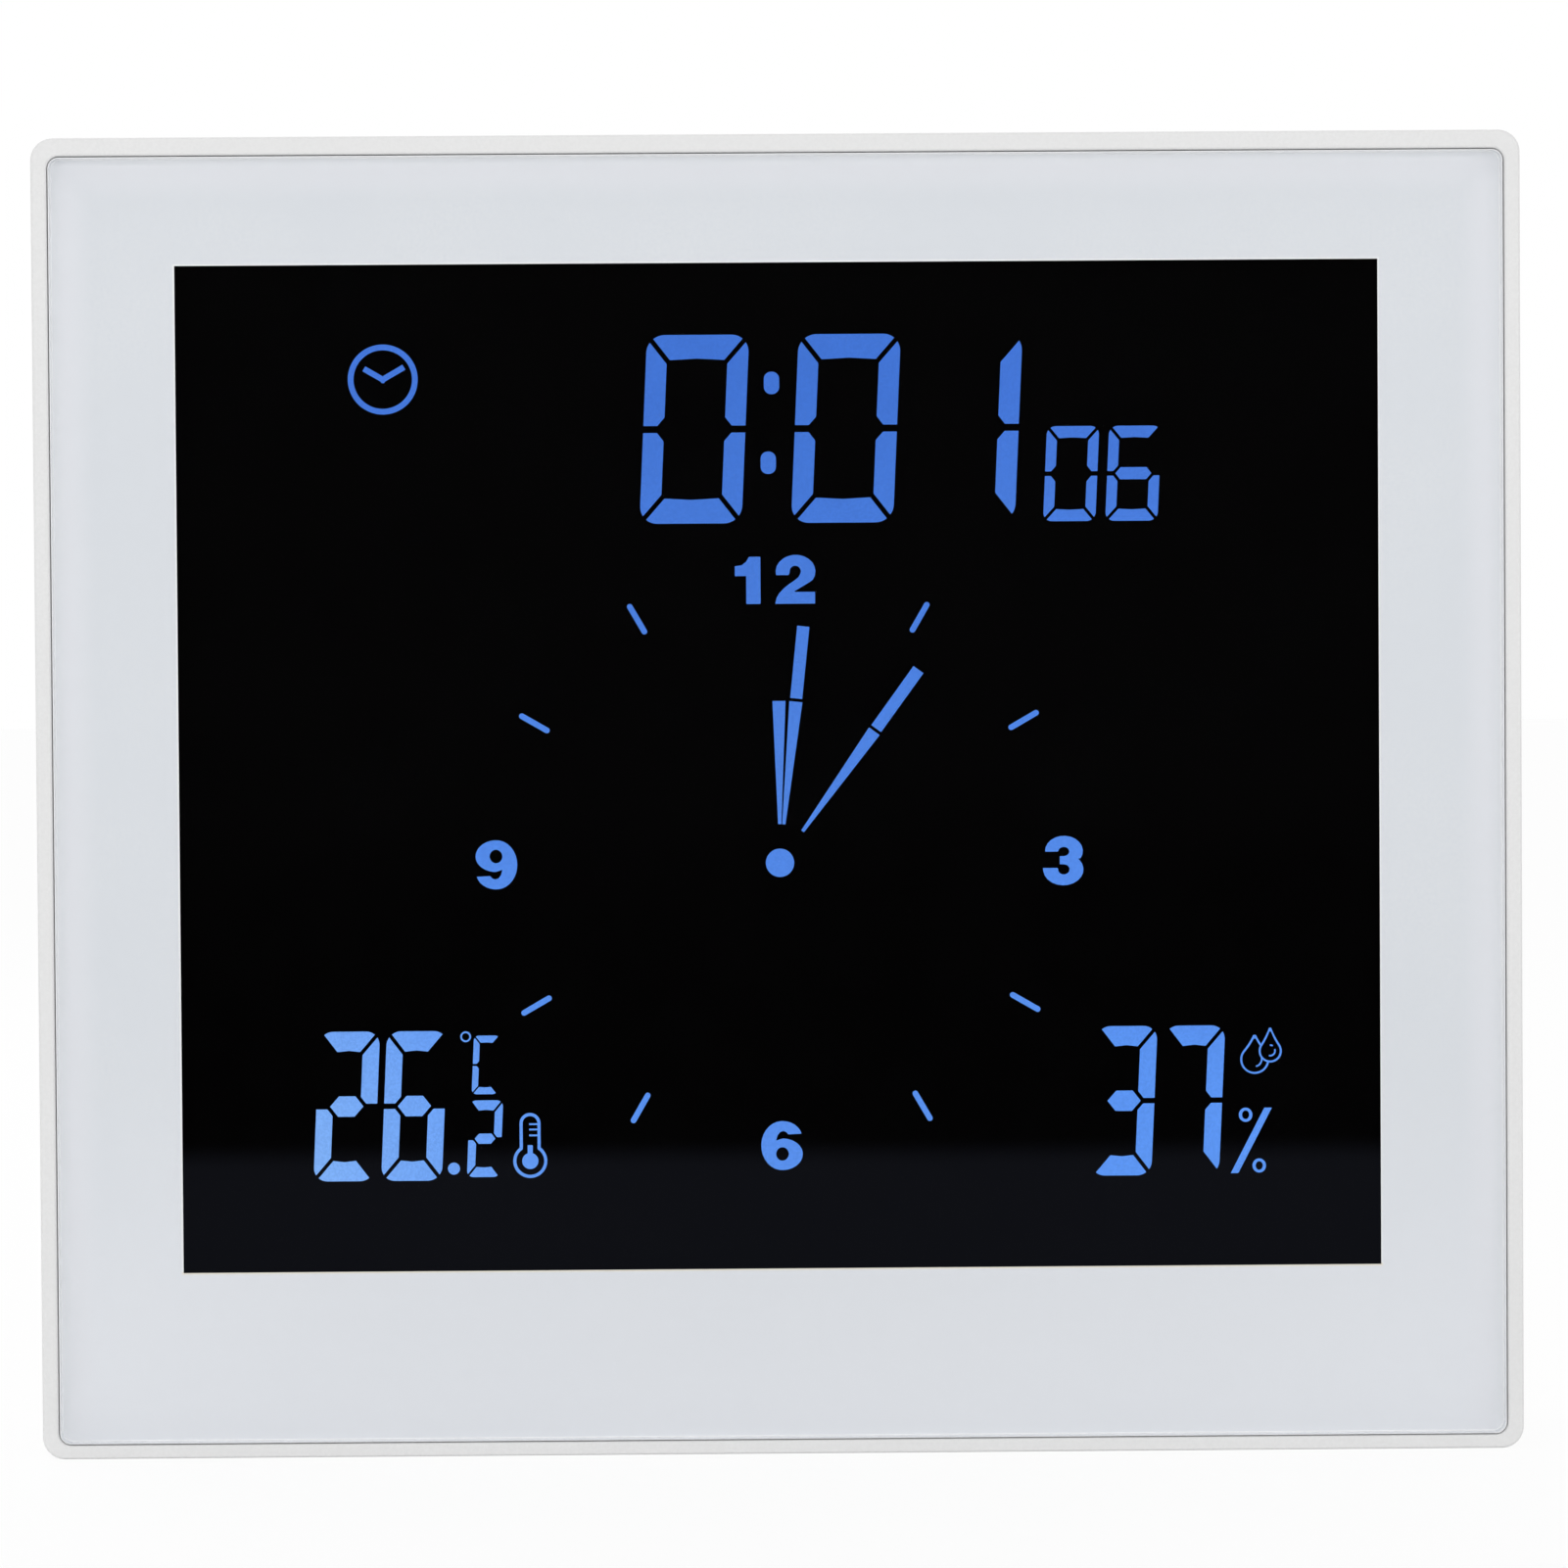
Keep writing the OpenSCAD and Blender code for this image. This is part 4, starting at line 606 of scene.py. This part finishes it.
def ring_plate(work, outer, inner, spot, count=40):
    """Adds a thin raised ring; spot is on a face that looks to the back."""
    profile = [
        (outer, -ROOT),
        (outer - RING_SLOPE, SIGN_RISE),
        (inner + RING_SLOPE, SIGN_RISE),
        (inner, -ROOT),
    ]
    loops = []
    for radius, level in profile:
        loop = []
        for i in range(count):
            turn = 2 * math.pi * i / count
            point = spot + Vector((radius * math.cos(turn), level, radius * math.sin(turn)))
            loop.append(work.verts.new(point * MM))
        loops.append(loop)
    for first, second in zip(loops, loops[1:] + loops[:1]):
        for i in range(count):
            k = (i + 1) % count
            work.faces.new((first[i], first[k], second[k], second[i]))


def disc_points(radius, count=28):
    """A circle about the middle."""
    turns = [2 * math.pi * i / count for i in range(count)]
    return [(radius * math.cos(turn), radius * math.sin(turn)) for turn in turns]


def bar_points(half_length, half_width, angle, distance=0.0):
    """A bar with round ends, moved outward along X and then turned about the middle."""
    steps = 8
    points = []
    for end in (1, -1):
        for i in range(steps + 1):
            turn = -math.pi / 2 + math.pi * i / steps
            x = distance + end * (half_length + half_width * math.cos(turn))
            points.append((x, end * half_width * math.sin(turn)))
    cosine = math.cos(angle)
    sine = math.sin(angle)
    return [(x * cosine - z * sine, x * sine + z * cosine) for x, z in points]


def arrow_points(way):
    """A triangle that points up where way is 1, and down where it is -1."""
    half_base = 1.2
    foot = -0.8
    tip = 1.1
    return [(-half_base, way * foot), (half_base, way * foot), (0.0, way * tip)]


def bell_points():
    """Outline of a bell, the same on both sides of its upright axis."""
    crown = (0.0, 1.15)
    half = [(0.3, 1.05), (0.62, 0.75), (0.74, 0.3), (0.8, -0.3), (1.1, -0.72)]
    return [crown] + half + [(-x, z) for x, z in reversed(half)]


def mode_sign(work, spot):
    """Ring with an upright bar through its top."""
    upright = math.pi / 2
    ring_plate(work, outer=1.25, inner=0.85, spot=spot)
    outline_plate(work, bar_points(half_length=0.45, half_width=0.13, angle=upright, distance=0.35), spot)


def set_sign(work, spot):
    """Three level bars, one above the other."""
    pitch = 0.75
    for step in (-pitch, 0.0, pitch):
        outline_plate(work, bar_points(half_length=1.0, half_width=0.17, angle=0.0), spot + TOP * step)


def up_sign(work, spot):
    """Arrow that points up."""
    outline_plate(work, arrow_points(1), spot)


def down_sign(work, spot):
    """Arrow that points down."""
    outline_plate(work, arrow_points(-1), spot)


def alarm_sign(work, spot):
    """Bell with its clapper below it."""
    bell_lift = 0.15
    clapper_drop = 1.05
    outline_plate(work, bell_points(), spot + TOP * bell_lift)
    outline_plate(work, disc_points(radius=0.28), spot - TOP * clapper_drop)


def light_sign(work, spot):
    """Disc with rays all round."""
    rays = 8
    outline_plate(work, disc_points(radius=0.62), spot)
    for i in range(rays):
        turn = 2 * math.pi * i / rays
        outline_plate(work, bar_points(half_length=0.17, half_width=0.11, angle=turn, distance=1.15), spot)


def key_face(key):
    """Middle of a key's face, which looks to the back."""
    low, high = node_box(key)
    middle = (low + high) / 2
    return Vector((middle.x, high.y, middle.z))


def key_signs():
    """Small raised signs on the rear keys; each looks the same in a mirror."""
    drawings = (mode_sign, set_sign, up_sign, down_sign, alarm_sign, light_sign)
    for key, draw in zip(KEYS, drawings):
        work = bmesh.new()
        draw(work, key_face(key + "_key"))
        new_piece(key + "_sign", work, key + "_key", "seal_grey")


def ridge_row(first, step, count, up, **size):
    """Finger ridges side by side, as one mesh; first is the middle of the first one's foot."""
    work = bmesh.new()
    for i in range(count):
        ridge(work, first + step * i, up, **size)
    return work


def grips():
    """Finger ridges on the latch, on the free end of the leg and on the snooze bar."""
    latch_start = 1.4
    latch_pitch = 1.2
    low, high = node_box("door_latch")
    first = Vector((0, high.y, low.z + latch_start))
    size = {"half_length": 4.2, "half_width": 0.34, "rise": 0.32}
    work = ridge_row(first, TOP * latch_pitch, count=3, up=BACK, **size)
    new_piece("latch_grip", work, "battery_door", "case_white")

    leg_start = 3.0
    leg_pitch = 1.6
    low, high = node_box("stand_leg")
    first = Vector((0, high.y, low.z + leg_start))
    size = {"half_length": 9.0, "half_width": 0.4, "rise": 0.35}
    work = ridge_row(first, TOP * leg_pitch, count=4, up=BACK, **size)
    new_piece("leg_grip", work, "stand", "case_white")

    snooze_pitch = 1.5
    low, high = node_box("snooze_button")
    first = Vector((0, (low.y + high.y) / 2 - snooze_pitch, high.z))
    size = {"half_length": 5.0, "half_width": 0.36, "rise": 0.28}
    work = ridge_row(first, BACK * snooze_pitch, count=3, up=TOP, **size)
    new_piece("snooze_grip", work, "snooze", "key_white")


key_signs()
grips()


def white_for_the_eye(tree, other, share):
    """Mixes in plain white of strength 1 for what the camera, mirrors and glass see directly."""
    path = tree.nodes.new("ShaderNodeLightPath")
    seen = path.outputs["Is Camera Ray"]
    for name in ("Is Glossy Ray", "Is Transmission Ray"):
        both = tree.nodes.new("ShaderNodeMath")
        both.operation = "MAXIMUM"
        tree.links.new(seen, both.inputs[0])
        tree.links.new(path.outputs[name], both.inputs[1])
        seen = both.outputs[0]
    part = tree.nodes.new("ShaderNodeMath")
    part.operation = "MULTIPLY"
    part.inputs[1].default_value = share
    tree.links.new(seen, part.inputs[0])
    kind = "ShaderNodeBackground" if other.type == "BACKGROUND" else "ShaderNodeEmission"
    white = tree.nodes.new(kind)
    white.inputs["Color"].default_value = (1, 1, 1, 1)
    white.inputs["Strength"].default_value = 1.0
    mix = tree.nodes.new("ShaderNodeMixShader")
    tree.links.new(part.outputs[0], mix.inputs[0])
    tree.links.new(other.outputs[0], mix.inputs[1])
    tree.links.new(white.outputs[0], mix.inputs[2])
    return mix


def room_light():
    """Soft white light from all round, a little stronger from above."""
    low_strength = 0.66
    high_strength = 0.90
    world = bpy.data.worlds.new("studio")
    world.use_nodes = True
    scene.world = world
    tree = world.node_tree
    tree.nodes.clear()
    fill = tree.nodes.new("ShaderNodeBackground")
    fill.inputs["Color"].default_value = (1.0, 1.0, 1.0, 1)
    direction = tree.nodes.new("ShaderNodeTexCoord")
    parts = tree.nodes.new("ShaderNodeSeparateXYZ")
    rise = tree.nodes.new("ShaderNodeMapRange")
    rise.inputs["To Min"].default_value = low_strength
    rise.inputs["To Max"].default_value = high_strength
    tree.links.new(direction.outputs["Generated"], parts.inputs[0])
    tree.links.new(parts.outputs[2], rise.inputs["Value"])
    tree.links.new(rise.outputs[0], fill.inputs["Strength"])
    output = tree.nodes.new("ShaderNodeOutputWorld")
    tree.links.new(white_for_the_eye(tree, fill, 1.0).outputs[0], output.inputs["Surface"])


def broad_lamp(name, place, size, power):
    """A soft rectangular lamp that looks at the middle of the clock; metres and watts."""
    target = Vector((0, 0, 0.07))
    lamp = bpy.data.lights.new(name, "AREA")
    lamp.shape = "RECTANGLE"
    lamp.size = size[0]
    lamp.size_y = size[1]
    lamp.energy = power
    holder = bpy.data.objects.new(name, lamp)
    holder.location = place
    aim = target - Vector(place)
    holder.rotation_euler = aim.to_track_quat("-Z", "Y").to_euler()
    scene.collection.objects.link(holder)


def pale_floor():
    """Wide pale floor that takes the clock's shadow."""
    reach = 4
    tones = ((0.86, 0.86, 0.86), (0.89, 0.89, 0.89))
    dust_mm = 30.0
    smooth_rough = (0.6, 0.7)
    white_share = 0.93
    corners = [(-reach, -reach), (reach, -reach), (reach, reach), (-reach, reach)]
    work = bmesh.new()
    work.faces.new([work.verts.new((x, y, 0)) for x, y in corners])
    mesh = bpy.data.meshes.new("floor")
    work.to_mesh(mesh)
    work.free()
    floor = bpy.data.objects.new("floor", mesh)
    scene.collection.objects.link(floor)
    look = Look("floor_pale")
    dust = look.noise(dust_mm, detail=3.0)
    inputs = {"Base Color": look.mix(dust, *tones), "Roughness": look.spread(dust, *smooth_rough)}
    plain = look.principled(inputs)
    shown = white_for_the_eye(look.material.node_tree, plain, white_share)
    floor.data.materials.append(look.done(shown))


def camera():
    """The photograph's view: straight on, a little above the middle."""
    place_mm = Vector((-4.47, -548.42, 75.39))
    turns = (88.4636, 0.3867, -0.5293)
    data = bpy.data.cameras.new("photo")
    data.lens = 135
    data.sensor_width = 36
    eye = bpy.data.objects.new("photo", data)
    eye.location = place_mm * MM
    eye.rotation_euler = [math.radians(turn) for turn in turns]
    scene.collection.objects.link(eye)
    scene.camera = eye


room_light()
broad_lamp("front_lamp", place=(0.0, -1.4, 0.16), size=(1.7, 0.7), power=6.8)
broad_lamp("back_lamp", place=(-0.3, 0.48, 0.55), size=(0.5, 0.5), power=1.1)
pale_floor()
camera()
